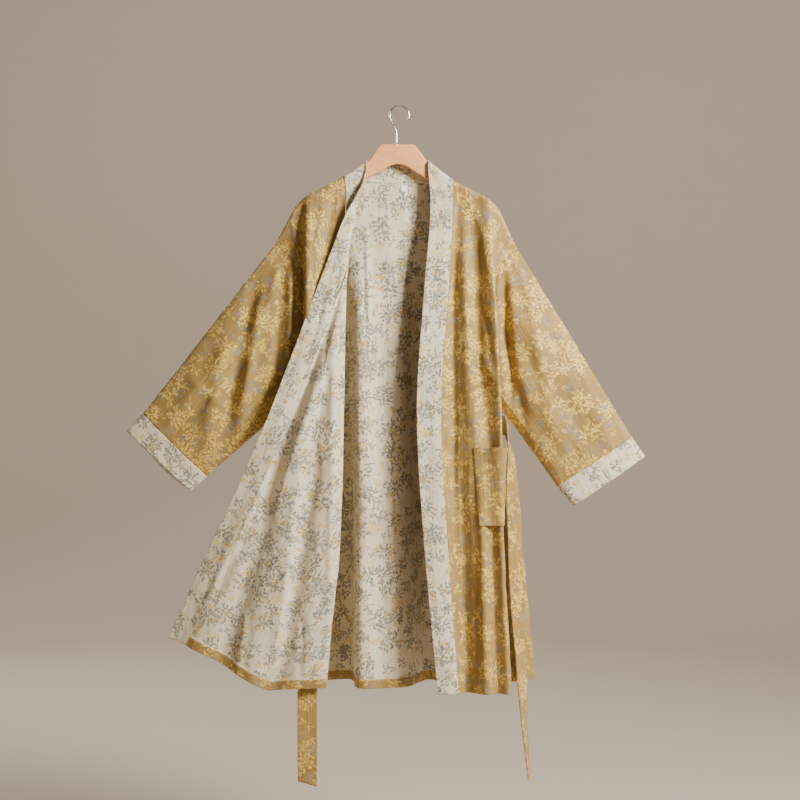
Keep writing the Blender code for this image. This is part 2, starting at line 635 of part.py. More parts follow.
# Hanging front and its band
front_drape = Drape(lambda z: right_front_curve(z)[0], hanging_stations, edge_shares(FRONT_COLUMNS))
band_drape = Drape(lambda z: right_front_curve(z)[0],
                   lambda z, total: (0, right_front_curve(z)[1] - HALF_GAP))
front_grid = panel(front_drape, np.linspace(0, 1, FRONT_COLUMNS), lambda share: ARMPIT_RIGHT_Z,
                   lambda share: HEM_Z)
cloth("front_hanging", front_grid, CLOTH, gold, robe)
band_grid = panel(band_drape, np.linspace(0, 1, 4), lambda share: ARMPIT_RIGHT_Z, lambda share: HEM_Z)
cloth("band_hanging", band_grid, BAND, pale, robe)


# Turned front and its band
step = 1 / (TURNED_COLUMNS - 1)
turned_drape = Drape(turned_front_curve, turned_stations,
                     shares=(0, step, 16 * step, 18 * step, 20 * step, 1 - step, 1))
turned_band_drape = Drape(turned_front_curve, lambda z, total: (0, BAND_WIDTH / MM - HALF_GAP))
turned_grid = panel(turned_drape, np.linspace(0, 1, TURNED_COLUMNS), lambda share: ARMPIT_LEFT_Z,
                    lambda share: from_table(TURNED_HEM, share))
cloth("front_turned", turned_grid, CLOTH, gold, robe, flip=True)
turned_band = panel(turned_band_drape, np.linspace(0, 1, 8), lambda share: ARMPIT_LEFT_Z,
                    lambda share: from_table(BAND_TURNED_HEM, share))
cloth("band_turned", turned_band, BAND, pale, robe, flip=True)

# Back and the collar band behind the neck
back_drape = Drape(back_curve, lambda z, total: edge_stations(HALF_GAP, total - HALF_GAP),
                   edge_shares(BACK_COLUMNS))
neck_shares = []
for inside in [-SEAM_GAP / MM] + [row[0] for row in NECK_CORNER[1:]]:
    neck_shares.append(back_drape.share_at((NECK_CORNER_X[0] + inside) * MM, -0.150))
    neck_shares.append(back_drape.share_at((NECK_CORNER_X[1] - inside) * MM, -0.150))
even = [share for share in np.linspace(0, 1, BACK_COLUMNS)
        if min(abs(share - special) for special in neck_shares) > 0.014]
back_shares = sorted(even + neck_shares)
back_grid = panel(back_drape, back_shares,
                  lambda share: ARMPIT_LEFT_Z + (ARMPIT_RIGHT_Z - ARMPIT_LEFT_Z) * share,
                  lambda share: HEM_Z + 12 * MM * (1 - share) ** 6, neck_top)
cloth("back", back_grid, CLOTH, gold, robe, flip=True)
cloth("band_neck", neck_band_grid(), BAND, pale, robe)

# Sleeves and cuffs
left_sleeve, left_cuff = sleeve_rings(turned_grid[:, -1], back_grid[:, 0], LEFT_ARM)
cloth("sleeve_left", left_sleeve, CLOTH, gold, robe, around=True, flip=True)
cloth("cuff_left", left_cuff, CUFF, pale, robe, around=True, flip=True)
right_sleeve, right_cuff = sleeve_rings(front_grid[:, -1], back_grid[:, -1], RIGHT_ARM)
cloth("sleeve_right", right_sleeve, CLOTH, gold, robe, around=True)
cloth("cuff_right", right_cuff, CUFF, pale, robe, around=True)

# Pocket, belt, its loops and the label
cloth("pocket", pocket_grid(front_grid), CLOTH, gold, robe)
belt = cloth("belt", belt_strip(), BELT_THICK, gold, robe)
belt.modifiers["Wall"].offset = 0
for name, places in LOOPS.items():
    loop = cloth(name, loop_strip(*places), LOOP_THICK, gold, robe)
    loop.modifiers["Wall"].offset = 0
label_share = [back_drape.share_at(x, LABEL_Z[0]) for x in LABEL_X]
label = np.array([[back_drape(share, z) - (0, SEAM_GAP, 0) for share in label_share] for z in LABEL_Z])
cloth("size_label", label, LABEL_THICK, white, robe)

board(robe, wood)
hook(robe, steel)
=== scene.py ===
"""Looks of a kimono bathrobe that hangs open on a wooden hanger.

Metres, +Z up, the robe's front faces -Y; the origin is the inner top of the hook's bend.
Left and right are the viewer's. Tables are in millimetres.
"""
import math

import bpy
import numpy as np
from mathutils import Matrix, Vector


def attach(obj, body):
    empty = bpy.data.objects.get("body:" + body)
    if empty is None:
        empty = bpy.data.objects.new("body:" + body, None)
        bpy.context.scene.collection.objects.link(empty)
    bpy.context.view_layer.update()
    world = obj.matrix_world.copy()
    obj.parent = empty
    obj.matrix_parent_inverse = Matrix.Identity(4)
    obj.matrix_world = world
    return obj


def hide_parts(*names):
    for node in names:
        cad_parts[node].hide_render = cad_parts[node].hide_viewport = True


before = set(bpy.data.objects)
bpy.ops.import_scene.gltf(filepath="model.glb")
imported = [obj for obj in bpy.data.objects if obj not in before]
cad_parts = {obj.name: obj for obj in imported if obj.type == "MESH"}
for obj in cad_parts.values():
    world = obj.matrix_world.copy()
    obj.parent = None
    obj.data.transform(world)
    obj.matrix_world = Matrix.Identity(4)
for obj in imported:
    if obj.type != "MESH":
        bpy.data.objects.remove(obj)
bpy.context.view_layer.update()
MM = 0.001


# Hanger board: a flat shaped board of pale peach-coloured beech, cut from one plank and sanded,
# with its long edges rounded. The robe's shoulders rest on its upper edge.
BOARD_THICK, BOARD_CORNER, BOARD_EDGE = 13, 7, 2.6
BEECH_DARK, BEECH_LIGHT = (0.78, 0.35, 0.125, 1), (0.88, 0.45, 0.185, 1)
BEECH_FLECK = (0.55, 0.30, 0.16, 1)
# Upper and lower edge: x, z
BOARD_TOP = ((-186, -183.5), (-169, -170.4), (-138, -155.4), (-117, -145.4), (-63, -110.4),
             (-41, -79.5), (-36.5, -75.9), (-33, -75.4), (25, -75.4), (28.6, -75.9), (33, -79.5),
             (57, -111.4), (106, -150.4), (149, -170.4), (177, -189))
BOARD_FOOT = ((-184, -206), (-160, -190), (-112, -167), (-67, -143), (-38, -129), (-20, -118),
              (-5, -114), (12, -118), (30, -130), (57, -147), (104, -172), (150, -196), (175, -212))


class Wire:
    """One socket of a material's nodes. Arithmetic on it adds Math nodes."""

    def __init__(self, tree, socket):
        self.tree, self.socket = tree, socket

    def node(self, kind, settings=(), inputs=(), out=0):
        """A new node: its settings, then the values or links of its sockets, and one output."""
        made = self.tree.nodes.new(kind)
        for name, value in dict(settings).items():
            setattr(made, name, value)
        for name, value in dict(inputs).items():
            if isinstance(value, Wire):
                self.tree.links.new(value.socket, made.inputs[name])
            else:
                made.inputs[name].default_value = value
        return Wire(self.tree, made.outputs[out])

    def math(self, operation, *values):
        """A Math node with this as its first value."""
        return self.node("ShaderNodeMath", {"operation": operation},
                         dict(enumerate((self, *values))))

    def vector(self, operation, *values, out=0):
        """A Vector Math node with this as its first value."""
        return self.node("ShaderNodeVectorMath", {"operation": operation},
                         dict(enumerate((self, *values))), out)

    def xyz(self):
        """The three parts of this vector."""
        x = self.node("ShaderNodeSeparateXYZ", {}, {0: self})
        return x, x.also(1), x.also(2)

    def also(self, out):
        """Another output of the same node."""
        return Wire(self.tree, self.socket.node.outputs[out])

    def band(self, low, high, from_value=0.0, to_value=1.0):
        """Smooth step from one value to another while this goes from low to high."""
        return self.node("ShaderNodeMapRange", {"interpolation_type": "SMOOTHSTEP"},
                         {"Value": self, "From Min": low, "From Max": high,
                          "To Min": from_value, "To Max": to_value})

    def mix(self, first, second):
        """Colour between two, by this as the share of the second."""
        return self.node("ShaderNodeMix", {"data_type": "RGBA"}, {0: self, 6: first, 7: second},
                         out=2)

    def noise(self, scale, detail=2.0, roughness=0.5, dimensions="3D"):
        """Noise over this vector, about 0.5."""
        return self.node("ShaderNodeTexNoise", {"noise_dimensions": dimensions},
                         {"Vector": self, "Scale": scale, "Detail": detail, "Roughness": roughness})

    def __add__(self, other):
        return self.math("ADD", other)

    def __sub__(self, other):
        return self.math("SUBTRACT", other)

    def __rsub__(self, other):
        return self.node("ShaderNodeMath", {"operation": "SUBTRACT"}, {0: other, 1: self})

    def __mul__(self, other):
        return self.math("MULTIPLY", other)

    def __truediv__(self, other):
        return self.math("DIVIDE", other)

    __radd__, __rmul__ = __add__, __mul__


def new_material(name):
    """An empty Principled material and its shader."""
    material = bpy.data.materials.new(name)
    material.use_nodes = True
    return material, material.node_tree.nodes["Principled BSDF"]


def place_in(material, uv_map=None):
    """Wire of the object's coordinates, or of a UV map, in a material."""
    start = Wire(material.node_tree, None)
    if uv_map:
        return start.node("ShaderNodeUVMap", {"uv_map": uv_map})
    return start.node("ShaderNodeTexCoord", out=3)


def feed(shader, **links):
    """Links wires, or sets values, on the shader's sockets; an underscore stands for a space."""
    for name, value in links.items():
        socket = shader.inputs[name.replace("_", " ")]
        if isinstance(value, Wire):
            value.tree.links.new(value.socket, socket)
        else:
            socket.default_value = value


def bump(height, strength, distance):
    """Normal from a height wire, in metres of relief at height one."""
    return height.node("ShaderNodeBump", {}, {"Strength": strength, "Distance": distance,
                                              "Height": height})


def mesh_piece(name, points, faces, uv=None, materials=(), face_material=None):
    """Smooth mesh from an array of points, an array of quads and, for each corner, its UV."""
    mesh = bpy.data.meshes.new(name)
    mesh.vertices.add(len(points))
    mesh.vertices.foreach_set("co", np.asarray(points, np.float32).ravel())
    sides = faces.shape[1]
    mesh.loops.add(faces.size)
    mesh.loops.foreach_set("vertex_index", faces.astype(np.int32).ravel())
    mesh.polygons.add(len(faces))
    mesh.polygons.foreach_set("loop_start", np.arange(0, faces.size, sides, dtype=np.int32))
    mesh.polygons.foreach_set("loop_total", np.full(len(faces), sides, np.int32))
    if uv is not None:
        mesh.uv_layers.new(name="cloth").data.foreach_set("uv", uv.astype(np.float32).ravel())
    for material in materials:
        mesh.materials.append(material)
    if face_material is not None:
        mesh.polygons.foreach_set("material_index", face_material.astype(np.int32))
    mesh.update(calc_edges=True)
    mesh.validate()
    mesh.shade_smooth()
    piece = bpy.data.objects.new(name, mesh)
    bpy.context.scene.collection.objects.link(piece)
    return piece


def grid_index(rows, columns, closed=False):
    """Point numbers of a grid of rows by columns, the first column again at the end when closed."""
    index = np.arange(rows * columns).reshape(rows, columns)
    return np.concatenate([index, index[:, :1]], 1) if closed else index


def grid_faces(index):
    """Quads between the point numbers of a grid."""
    quads = np.stack([index[:-1, :-1], index[1:, :-1], index[1:, 1:], index[:-1, 1:]], -1)
    return quads.reshape(-1, 4)


def finish_piece(piece, node, slot, **sheet):
    """Attaches a piece to the root body and hides the part it stands for; its slot and a cloth's
    cut size are not used.
    """
    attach(piece, "root")
    if node:
        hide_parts(node)


def rounded_outline(corners, reach, steps=5):
    """Closed outline whose corners are each replaced by a curve.

    Each corner's curve runs from reach before it to reach after it, as a parabola whose control
    point is the corner.
    """
    corners = np.array(corners, float)
    before, after = np.roll(corners, 1, 0) - corners, np.roll(corners, -1, 0) - corners
    cut = np.minimum(reach, 0.45 * np.minimum(np.linalg.norm(before, axis=1),
                                              np.linalg.norm(after, axis=1)))[:, None]
    start = corners + before / np.linalg.norm(before, axis=1)[:, None] * cut
    stop = corners + after / np.linalg.norm(after, axis=1)[:, None] * cut
    t = np.linspace(0, 1, steps)[:, None, None]
    curve = (1 - t) ** 2 * start + 2 * t * (1 - t) * corners + t ** 2 * stop
    return curve.transpose(1, 0, 2).reshape(-1, 2)


outline = rounded_outline(BOARD_TOP + BOARD_FOOT[::-1], BOARD_CORNER)
board_points = np.stack([outline[:, 0], np.zeros(len(outline)), outline[:, 1]], 1)[::-1] * MM
board = mesh_piece("wooden_board", board_points, np.arange(len(board_points))[None, :])
thickness = board.modifiers.new("Thickness", "SOLIDIFY")
thickness.thickness, thickness.offset = BOARD_THICK * MM, 0
rounding = board.modifiers.new("Rounded edges", "BEVEL")
rounding.width, rounding.segments = BOARD_EDGE * MM, 4
rounding.limit_method, rounding.angle_limit = "ANGLE", math.radians(60)

wood, shader = new_material("pale beech")
place = place_in(wood)
along = place.vector("MULTIPLY", (0.9, 6.0, 14.0))
swirl = along.noise(9.0, 3.0)
rings = along.vector("ADD", swirl.node("ShaderNodeCombineXYZ", {}, {2: swirl * 0.6}))
grain = rings.noise(22.0, 5.0, 0.62)
pores = place.vector("MULTIPLY", (14.0, 160.0, 190.0)).noise(11.0)
tone = grain.band(0.32, 0.68).mix(BEECH_DARK, BEECH_LIGHT)
flecks = pores.band(0.60, 0.74, 0.0, 0.35)
feed(shader, Base_Color=flecks.mix(tone, BEECH_FLECK),
     Roughness=grain * 0.16 + 0.42, Normal=bump(pores + grain, 0.25, 0.0003), Coat_Weight=0.08)
board.data.materials.append(wood)
finish_piece(board, "hanger_board", "wood")


# Hanger hook: bright steel wire, bent to a round hook and screwed into the board's top edge
# through a small collar.
WIRE_RADIUS, TIP_RADIUS, HOOK_RADIUS, HOOK_ARC = 1.7, 0.02, 19.5, (205, -25)
HOOK_STEM = ((-6, -75.1), (-6, -66), (-6, -58), (-6.5, -51), (-8, -45), (-10.5, -40), (-13.2, -36))
# Collar: x, z and radius up the stem
HOOK_COLLAR = np.array(((-6, -75.2, 3.3), (-6, -74.2, 3.3), (-6, -73.2, 2.9), (-6, -72.6, 2.2)))
STEEL_DARK, STEEL_LIGHT = (0.58, 0.58, 0.57, 1), (0.74, 0.74, 0.73, 1)


def lengths_of(curves):
    """Length from the start to each point of every curve, from an array of curves by points."""
    steps = np.linalg.norm(np.diff(curves, axis=1), axis=2)
    return np.concatenate([np.zeros((len(curves), 1)), np.cumsum(steps, 1)], 1)


def run_of(points):
    """Length from the start to each point of one curve."""
    return lengths_of(points[None])[0]


def tube(name, path, radius, around=20):
    """Round tube along a flat path in the plane y = 0, closed with domed ends.

    A point is the path point plus radius times (side cos t + y sin t); the radius falls to nothing
    over the first and the last ring as a quarter circle.
    """
    path = np.asarray(path, float)
    forward = np.gradient(path, axis=0)
    forward /= np.linalg.norm(forward, axis=1)[:, None]
    quarter = np.linspace(0, math.pi / 2, 6)
    dome, shift, ends = np.sin(quarter), np.cos(quarter), len(quarter) - 1
    centre = np.concatenate([path[0] - forward[0] * radius[0] * shift[:-1, None] * 0.6, path,
                             path[-1] + forward[-1] * radius[-1] * shift[::-1][1:, None] * 0.6])
    size = np.concatenate([radius[0] * dome[:-1], radius, radius[-1] * dome[::-1][1:]])
    size = np.maximum(size, TIP_RADIUS)
    forward = np.pad(forward, ((ends, ends), (0, 0)), mode="edge")
    side = np.stack([-forward[:, 1], forward[:, 0]], 1)
    t = np.linspace(0, 2 * math.pi, around, endpoint=False)
    flat = centre[:, None] + (size[:, None, None] * np.cos(t)[None, :, None]) * side[:, None]
    depth = size[:, None] * np.sin(t)[None]
    grid = np.stack([flat[..., 0], depth, flat[..., 1]], -1) * MM
    faces = grid_faces(grid_index(len(centre), around, closed=True))
    first = np.arange(around)[None, ::-1]
    final = first[:, ::-1] + (len(centre) - 1) * around
    mesh = bpy.data.meshes.new(name)
    mesh.from_pydata(grid.reshape(-1, 3).tolist(), [],
                     faces.tolist() + first.tolist() + final.tolist())
    mesh.shade_smooth()
    piece = bpy.data.objects.new(name, mesh)
    bpy.context.scene.collection.objects.link(piece)
    return piece


turn = np.radians(np.linspace(*HOOK_ARC, 70))
bend = np.stack([np.cos(turn), np.sin(turn)], 1) * HOOK_RADIUS + (0, WIRE_RADIUS - HOOK_RADIUS)
hook_path = np.concatenate([HOOK_STEM, bend])
reach = run_of(hook_path)
steady = np.linspace(0, reach[-1], 130)
hook_path = np.stack([np.interp(steady, reach, hook_path[:, k]) for k in (0, 1)], 1)
hook = tube("wire_hook", hook_path, np.full(len(hook_path), WIRE_RADIUS))
collar = tube("hook_collar", HOOK_COLLAR[:, :2], HOOK_COLLAR[:, 2])

steel, shader = new_material("bright wire")
smear = place_in(steel).noise(420.0, 3.0)
feed(shader, Base_Color=smear.band(0.3, 0.7).mix(STEEL_DARK, STEEL_LIGHT), Metallic=1.0,
     Roughness=smear * 0.16 + 0.16)
for piece, node in ((hook, "hanger_hook"), (collar, None)):
    piece.data.materials.append(steel)
    finish_piece(piece, node, "steel")


# The robe's cloth: a double-faced jacquard, gold with brighter gold sprays and grey-taupe leaves
# outside, off-white with grey-green and ochre sprays inside. One cloth makes every panel, so
# each material below is one of its two faces. UV is the cut cloth's own surface, in metres.
GOLD_GROUND, GOLD_DEEP = (0.36, 0.235, 0.066, 1), (0.262, 0.165, 0.044, 1)
GOLD_PETAL, GOLD_BRIGHT = (0.62, 0.42, 0.085, 1), (0.77, 0.54, 0.125, 1)
TAUPE_LEAF, TAUPE_DEEP = (0.285, 0.255, 0.185, 1), (0.22, 0.205, 0.155, 1)
PALE_GROUND, PALE_SHADE = (0.77, 0.685, 0.52, 1), (0.65, 0.565, 0.41, 1)
GREEN_LEAF, BLUE_LEAF = (0.135, 0.137, 0.103, 1), (0.19, 0.21, 0.19, 1)
OCHRE_PETAL, RUST_PETAL = (0.68, 0.46, 0.10, 1), (0.48, 0.27, 0.085, 1)
TAN_TWIG = (0.33, 0.25, 0.14, 1)
# Noises along the cloth: how often a metre across and down, detail, roughness
SLUB, WEFT = (900, 42, 2.0, 0.5), (60, 1100, 2.0, 0.5)
BROAD_STREAK, FINE_STREAK = (120, 7, 4.0, 0.6), (430, 16, 2.0, 0.5)
# Stems of a spray, their random turn and their bend for each metre
STEMS, STEM_TURN, STEM_BEND = 4, 6.28, 90.0


def lattice(vector, cell):
    """Nearest point of an uneven lattice, and three random numbers that belong to it."""
    scale = {"Vector": vector, "Scale": 1 / cell, "Randomness": 0.92}
    point = vector.node("ShaderNodeTexVoronoi", {"voronoi_dimensions": "2D"}, scale, out=2)
    chance = point.node("ShaderNodeSeparateColor", {}, {0: point.also(1)})
    return point, chance, chance.also(1), chance.also(2)


def sprays(uv, group, reach, leaf, half, wide, shift, thin):
    """Sprays of pointed leaves, one spray in each cell of a coarse uneven lattice.

    A finer lattice places the leaves. A leaf is kept while its middle is within reach of its
    spray's, and it points away from there. Its half width is wide (1 - (along / half) squared).
    All in metres. Gives the mask of the leaves and random numbers for the leaf and its spray.
    """
    moved = uv.vector("ADD", (shift, shift * 1.7, 0))
    middle, turn, pick, lot = lattice(moved, leaf)
    heart, size, kind, _ = lattice(middle, group)
    away = middle.vector("SUBTRACT", heart)
    ragged = middle.noise(95.0, 1.0, dimensions="2D") * 1.1 + 0.45
    far = away.vector("LENGTH", out=1) * ragged / (size * 0.75 + 0.62)
    kept = lot.math("LESS_THAN", 1 - far * (thin / reach)) * far.math("LESS_THAN", reach)
    x, y, _ = away.xyz()
    angle = y.math("ARCTAN2", x) + (turn - 0.5) * 1.5
    local = moved.vector("SUBTRACT", middle)
    turned = local.node("ShaderNodeVectorRotate", {"rotation_type": "Z_AXIS"},
                        {"Vector": local, "Angle": angle * -1.0})
    along, across, _ = turned.xyz()
    run = along * (1 / half)
    outline = (1 - run * run) * wide - across.math("ABSOLUTE")
    return outline.band(-0.0003, 0.0003) * kept, pick, kind


def twigs(uv, group, reach):
    """Thin bent stems that run out from each spray's middle, in a mask.

    A stem lies where the angle, turned with the distance, is an odd half of one stem's sector.
    """
    heart, size, kind, bend = lattice(uv, group)
    away = uv.vector("SUBTRACT", heart)
    far = away.vector("LENGTH", out=1)
    x, y, _ = away.xyz()
    angle = y.math("ARCTAN2", x) + kind * STEM_TURN + far * (bend - 0.5) * STEM_BEND
    part = (angle * (STEMS / math.tau) + 9.0).math("FRACT")
    off = (part - 0.5).math("ABSOLUTE") * far * (math.tau / STEMS)
    return off.band(0.0002, 0.00075, 1.0, 0.0) * far.band(reach * 0.75, reach, 1.0, 0.0) * (
        size.band(0.15, 0.2))


def cloth_face(name, ground, deep, layers, twig, rough, sheen):
    """One face of the cloth: uneven ground, slubs along the warp and layers of sprays.

    A layer is (spray sizes, first leaf colour, second, its share by leaf, third, its share by
    spray, strength). The twigs are (colour, strength, apart, reach).
    """
    material, shader = new_material(name)
    uv = place_in(material, "cloth")
    wobble = uv.noise(70.0, dimensions="2D").also(1).vector("SUBTRACT", (0.5, 0.5, 0.5))
    bent = uv.vector("ADD", wobble.vector("MULTIPLY", (0.007, 0.007, 0)))
    slub, weft, broad, fine = (
        uv.vector("MULTIPLY", (across, down, 0)).noise(1.0, detail, coarse, "2D")
        for across, down, detail, coarse in (SLUB, WEFT, BROAD_STREAK, FINE_STREAK))
    streak = broad * 0.65 + fine * 0.35
    cloud = uv.noise(7.0, 3.0, dimensions="2D")
    weave = slub * 0.6 + weft * 0.4
    colour = (cloud * 0.3 + weave * 0.35 + streak * 0.35).band(0.38, 0.60).mix(deep, ground)
    twig_colour, twig_strength, *twig_sizes = twig
    stems = twigs(bent, *twig_sizes) * twig_strength
    colour = stems.mix(colour, twig_colour)
    raised = stems * 0.3
    for sizes, first, second, share, third, spray_share, strength in layers:
        mask, pick, kind = sprays(bent, *sizes)
        tint = pick.band(1 - share - 0.02, 1 - share + 0.02).mix(first, second)
        tint = kind.band(1 - spray_share - 0.01, 1 - spray_share + 0.01).mix(tint, third)
        inked = mask * (weave.band(0.25, 0.55, 0.6, 1.0) * strength)
        colour = inked.mix(colour, tint)
        raised = raised + inked
    threads = weave * 0.22 + raised * 0.16 + streak * 1.6
    feed(shader, Base_Color=colour, Roughness=rough - raised * sheen,
         Normal=bump(threads, 0.75, 0.001), Sheen_Weight=0.2, Sheen_Roughness=0.5,
         Specular_IOR_Level=0.3)
    return material


# Sprays: apart, reach, leaves apart, leaf half length, half width, shift, thinning
BIG_SPRAY = (0.046, 0.0165, 0.0062, 0.0051, 0.0019, 0.0, 0.14)
MID_SPRAY = (0.033, 0.0100, 0.0056, 0.0046, 0.0017, 3.31, 0.20)
SMALL_SPRAY = (0.027, 0.0056, 0.0044, 0.0033, 0.0017, 7.77, 0.18)
gold = cloth_face(
    "gold jacquard face", GOLD_GROUND, GOLD_DEEP,
    ((MID_SPRAY, TAUPE_LEAF, TAUPE_DEEP, 0.4, GOLD_PETAL, 0.15, 0.90),
     (SMALL_SPRAY, GOLD_PETAL, TAUPE_LEAF, 0.3, GOLD_BRIGHT, 0.3, 0.65),
     (BIG_SPRAY, GOLD_PETAL, GOLD_BRIGHT, 0.4, GOLD_BRIGHT, 0.2, 0.92)),
    (GOLD_PETAL, 0.6, 0.055, 0.018), 0.62, 0.10)
pale = cloth_face(
    "off-white jacquard face", PALE_GROUND, PALE_SHADE,
    ((MID_SPRAY, BLUE_LEAF, GREEN_LEAF, 0.4, OCHRE_PETAL, 0.26, 0.78),
     (BIG_SPRAY, GREEN_LEAF, BLUE_LEAF, 0.45, BLUE_LEAF, 0.35, 0.86),
     (SMALL_SPRAY, OCHRE_PETAL, RUST_PETAL, 0.2, TAN_TWIG, 0.25, 0.82)),
    (TAN_TWIG, 0.65, 0.055, 0.020), 0.74, 0.03)


# Back: one panel from side seam to side seam. It hangs in deep flutes from the shoulders and is
# seen from inside between the fronts; its hem is turned up to the inside by 18 mm and sewn.
CLOTH, HALF_GAP = 1.6, 0.15
NECK_SEAM_Z, ARMPIT_LEFT_Z, ARMPIT_RIGHT_Z, HEM_Z = -151, -584, -602, -1165
# Turn-up: its height, its own layer inside and its rows' heights over the hem
HEM_TURN, HEM_LAYER = 18, 0.7
HEM_FOLD = (17.2, 14, 10, 6, 3, 1.2, 0)
HEM_ROWS, SKIRT_ROWS = len(HEM_FOLD), 112
# Shares down a panel to its armpit, close together over the shoulder's roll
UPPER_SHARES = np.concatenate([(0, .0006, .0015, .003, .005, .008, .012, .017, .023, .030),
                               np.linspace(0.036, 1, 96)])
SHOULDER_ROLL = 7.4
# Shoulder ridge: x, z
SHOULDER = (
    (-300, -372), (-247, -274), (-229, -240), (-207, -198), (-187, -179), (-169, -169),
    (-138, -154), (-117, -144), (-63, -109), (-37, -74), (29, -74), (57, -110), (106, -149),
    (149, -169), (179, -186), (199, -206), (215, -245), (235, -285), (290, -390))
# Above the armpit a step out from the seam, x and y, steers the end of a panel's plan curve
ARM_X, ARM_Y = 26, 3
# Armhole and side seams: z, x, y of the front's edge, y of the back's edge
SEAM_LEFT = (
    (-230, -290, 0, 0), (-274, -247, -1, 1), (-302, -216, -8, 8), (-330, -201, -12, 12),
    (-400, -196, -14, 14), (-500, -197, -14, 14), (-560, -202, -9, 9), (-584, -205, 0, 0),
    (-640, -206, 2, 2), (-880, -198, 6, 6), (-1180, -186, 8, 8))
SEAM_RIGHT = (
    (-240, 278, 0, 0), (-285, 235, -1, 1), (-302, 212, -8, 8), (-322, 197, -12, 12),
    (-360, 189, -14, 14), (-480, 188, -14, 14), (-570, 196, -9, 9), (-602, 201, 0, 0),
    (-650, 205, 6, 6), (-880, 215, 40, 40), (-1180, 229, 84, 84))
# Crests and troughs: a name, then x and y at each of these heights
FOLD_HEIGHTS = (-100, -200, -350, -600, -880, -1180)
BACK_FOLDS = (
    ("left groove", (-200, -196, -184, -190, -180, -168),  (8, 10, 20, 22, 34, 42)),
    ("left flute",  (-150, -150, -128, -108, -102, -102),  (9, 12, 32, 57, 78, 92)),
    ("left bulge",  (-90, -90, -82, -82, -80, -80),        (9, 11, 8, 4, 2, 3)),
    ("mid crest",   (-50, -46, -38, -30, -30, -32),        (9, 11, 14, 16, 12, 10)),
    ("mid bulge",   (0, 0, 4, 5, 10, 14),                  (9, 11, 17, 22, 24, 26)),
    ("deep flute",  (50, 50, 42, 40, 52, 62),              (9, 13, 34, 62, 88, 108)),
    ("hidden crest", (104, 104, 92, 88, 100, 116),         (9, 12, 26, 40, 54, 64)),
    ("right flute", (150, 150, 142, 142, 158, 176),        (9, 12, 32, 62, 96, 128)),
    ("side crest",  (196, 192, 176, 184, 248, 283),        (8, 10, 22, 27, 82, 124)),
    ("side lip",    (200, 197, 183, 190, 228, 252),        (8, 10, 18, 16, 60, 98)),
)
FRONT_FOLDS = (
    ("band edge",   (55, 61, 50, 34, 49, 77),         (-9, -13, -22, -32, -42, -52)),
    ("band seam",   (106, 106, 98, 82, 95, 117),      (-9, -13, -22, -32, -40, -50)),
    ("trough one",  (118, 117, 110, 107, 123, 135),   (-9, -11, -16, -23, -22, -26)),
    ("crest one",   (136, 133, 130, 147, 163, 172),   (-9, -14, -25, -37, -47, -57)),
    ("trough two",  (152, 150, 146, 172, 184, 193),   (-9, -12, -18, -27, -34, -40)),
    ("crest two",   (172, 176, 186, 199, 203, 217),   (-9, -19, -37, -43, -47, -52)),
    ("arm groove",  (200, 196, 183, 195, 205, 219),   (-8, -10, -18, -14, 22, 62)),
)
UNDER_FOLDS = (
    ("arm groove",  (-200, -196, -190, -196, -190, -182),  (-8, -11, -19, -15, -8, -4)),
    ("arm crest",   (-176, -178, -180, -184, -176, -170),  (-9, -18, -36, -34, -24, -18)),
)
# Steps of a plan curve from one crest or trough to the next
SPAN = 14
# Creases in a front view: a name, x and z of its two ends, width, depth out of the cloth
BACK_CREASES = (
    ("neck pull left",   -96, -170, -60, -470, 9, -1.6),
    ("pressed ridge",    -67, -236, -60, -470, 3.4, 1.5),
    ("pressed groove",   -74, -240, -67, -470, 3.4, -1.1),
    ("slub line one",    -22, -150, -14, -1120, 4, 0.9),
    ("slub line two",     24, -150, 20, -700, 5, -1.1),
    ("soft ridge",       -4, -520, 2, -1160, 8, 1.6),
    ("soft valley",       14, -600, 24, -1150, 7, -1.5),
    ("label pucker",      9, -150, 10, -330, 6, 1.2),
    ("blade pull left",  -150, -200, -120, -560, 16, 2.6),
    ("blade pull right",  150, -210, 120, -560, 16, 2.6),
    ("waist drag left",  -170, -640, -90, -760, 12, -2.4),
    ("waist drag right",  176, -640, 100, -780, 12, -2.4),
    ("skirt soft",        -60, -700, -96, -1160, 14, 2.0),
)


def cubic_through(at, knots, values):
    """Cubic through the values given at rising knots, with slopes from the neighbours."""
    slopes = np.gradient(values, knots, axis=0)
    i = np.clip(np.searchsorted(knots, at) - 1, 0, len(knots) - 2)
    step = knots[i + 1] - knots[i]
    s = (at - knots[i]) / step
    if values.ndim > 1:
        step, s = step[:, None], s[:, None]
    return ((2 * s ** 3 - 3 * s ** 2 + 1) * values[i] + (s ** 3 - 2 * s ** 2 + s) * step * slopes[i]
            + (3 * s ** 2 - 2 * s ** 3) * values[i + 1] + (s ** 3 - s ** 2) * step * slopes[i + 1])


def at_heights(z, values):
    """Cubic through values given at the fold heights."""
    rise = -np.array(FOLD_HEIGHTS, float)
    return cubic_through(np.clip(-z, rise[0], rise[-1]), rise, np.array(values, float))


def fold_points(folds, z):
    """Plan points of each crest and trough at every height: one array of heights x 2 for each."""
    return [np.stack([at_heights(z, xs), at_heights(z, ys)], -1) for _, xs, ys in folds]


def read_table(z, rows, column):
    """Straight reading of a table whose first column is a falling height."""
    table = np.array(rows, float)
    return np.interp(-z, -table[:, 0], table[:, column])


def seam_points(rows, z, side):
    """Plan points of a seam, with the y of the front's edge (side 2) or of the back's (side 3)."""
    return np.stack([read_table(z, rows, 1), read_table(z, rows, side)], -1)


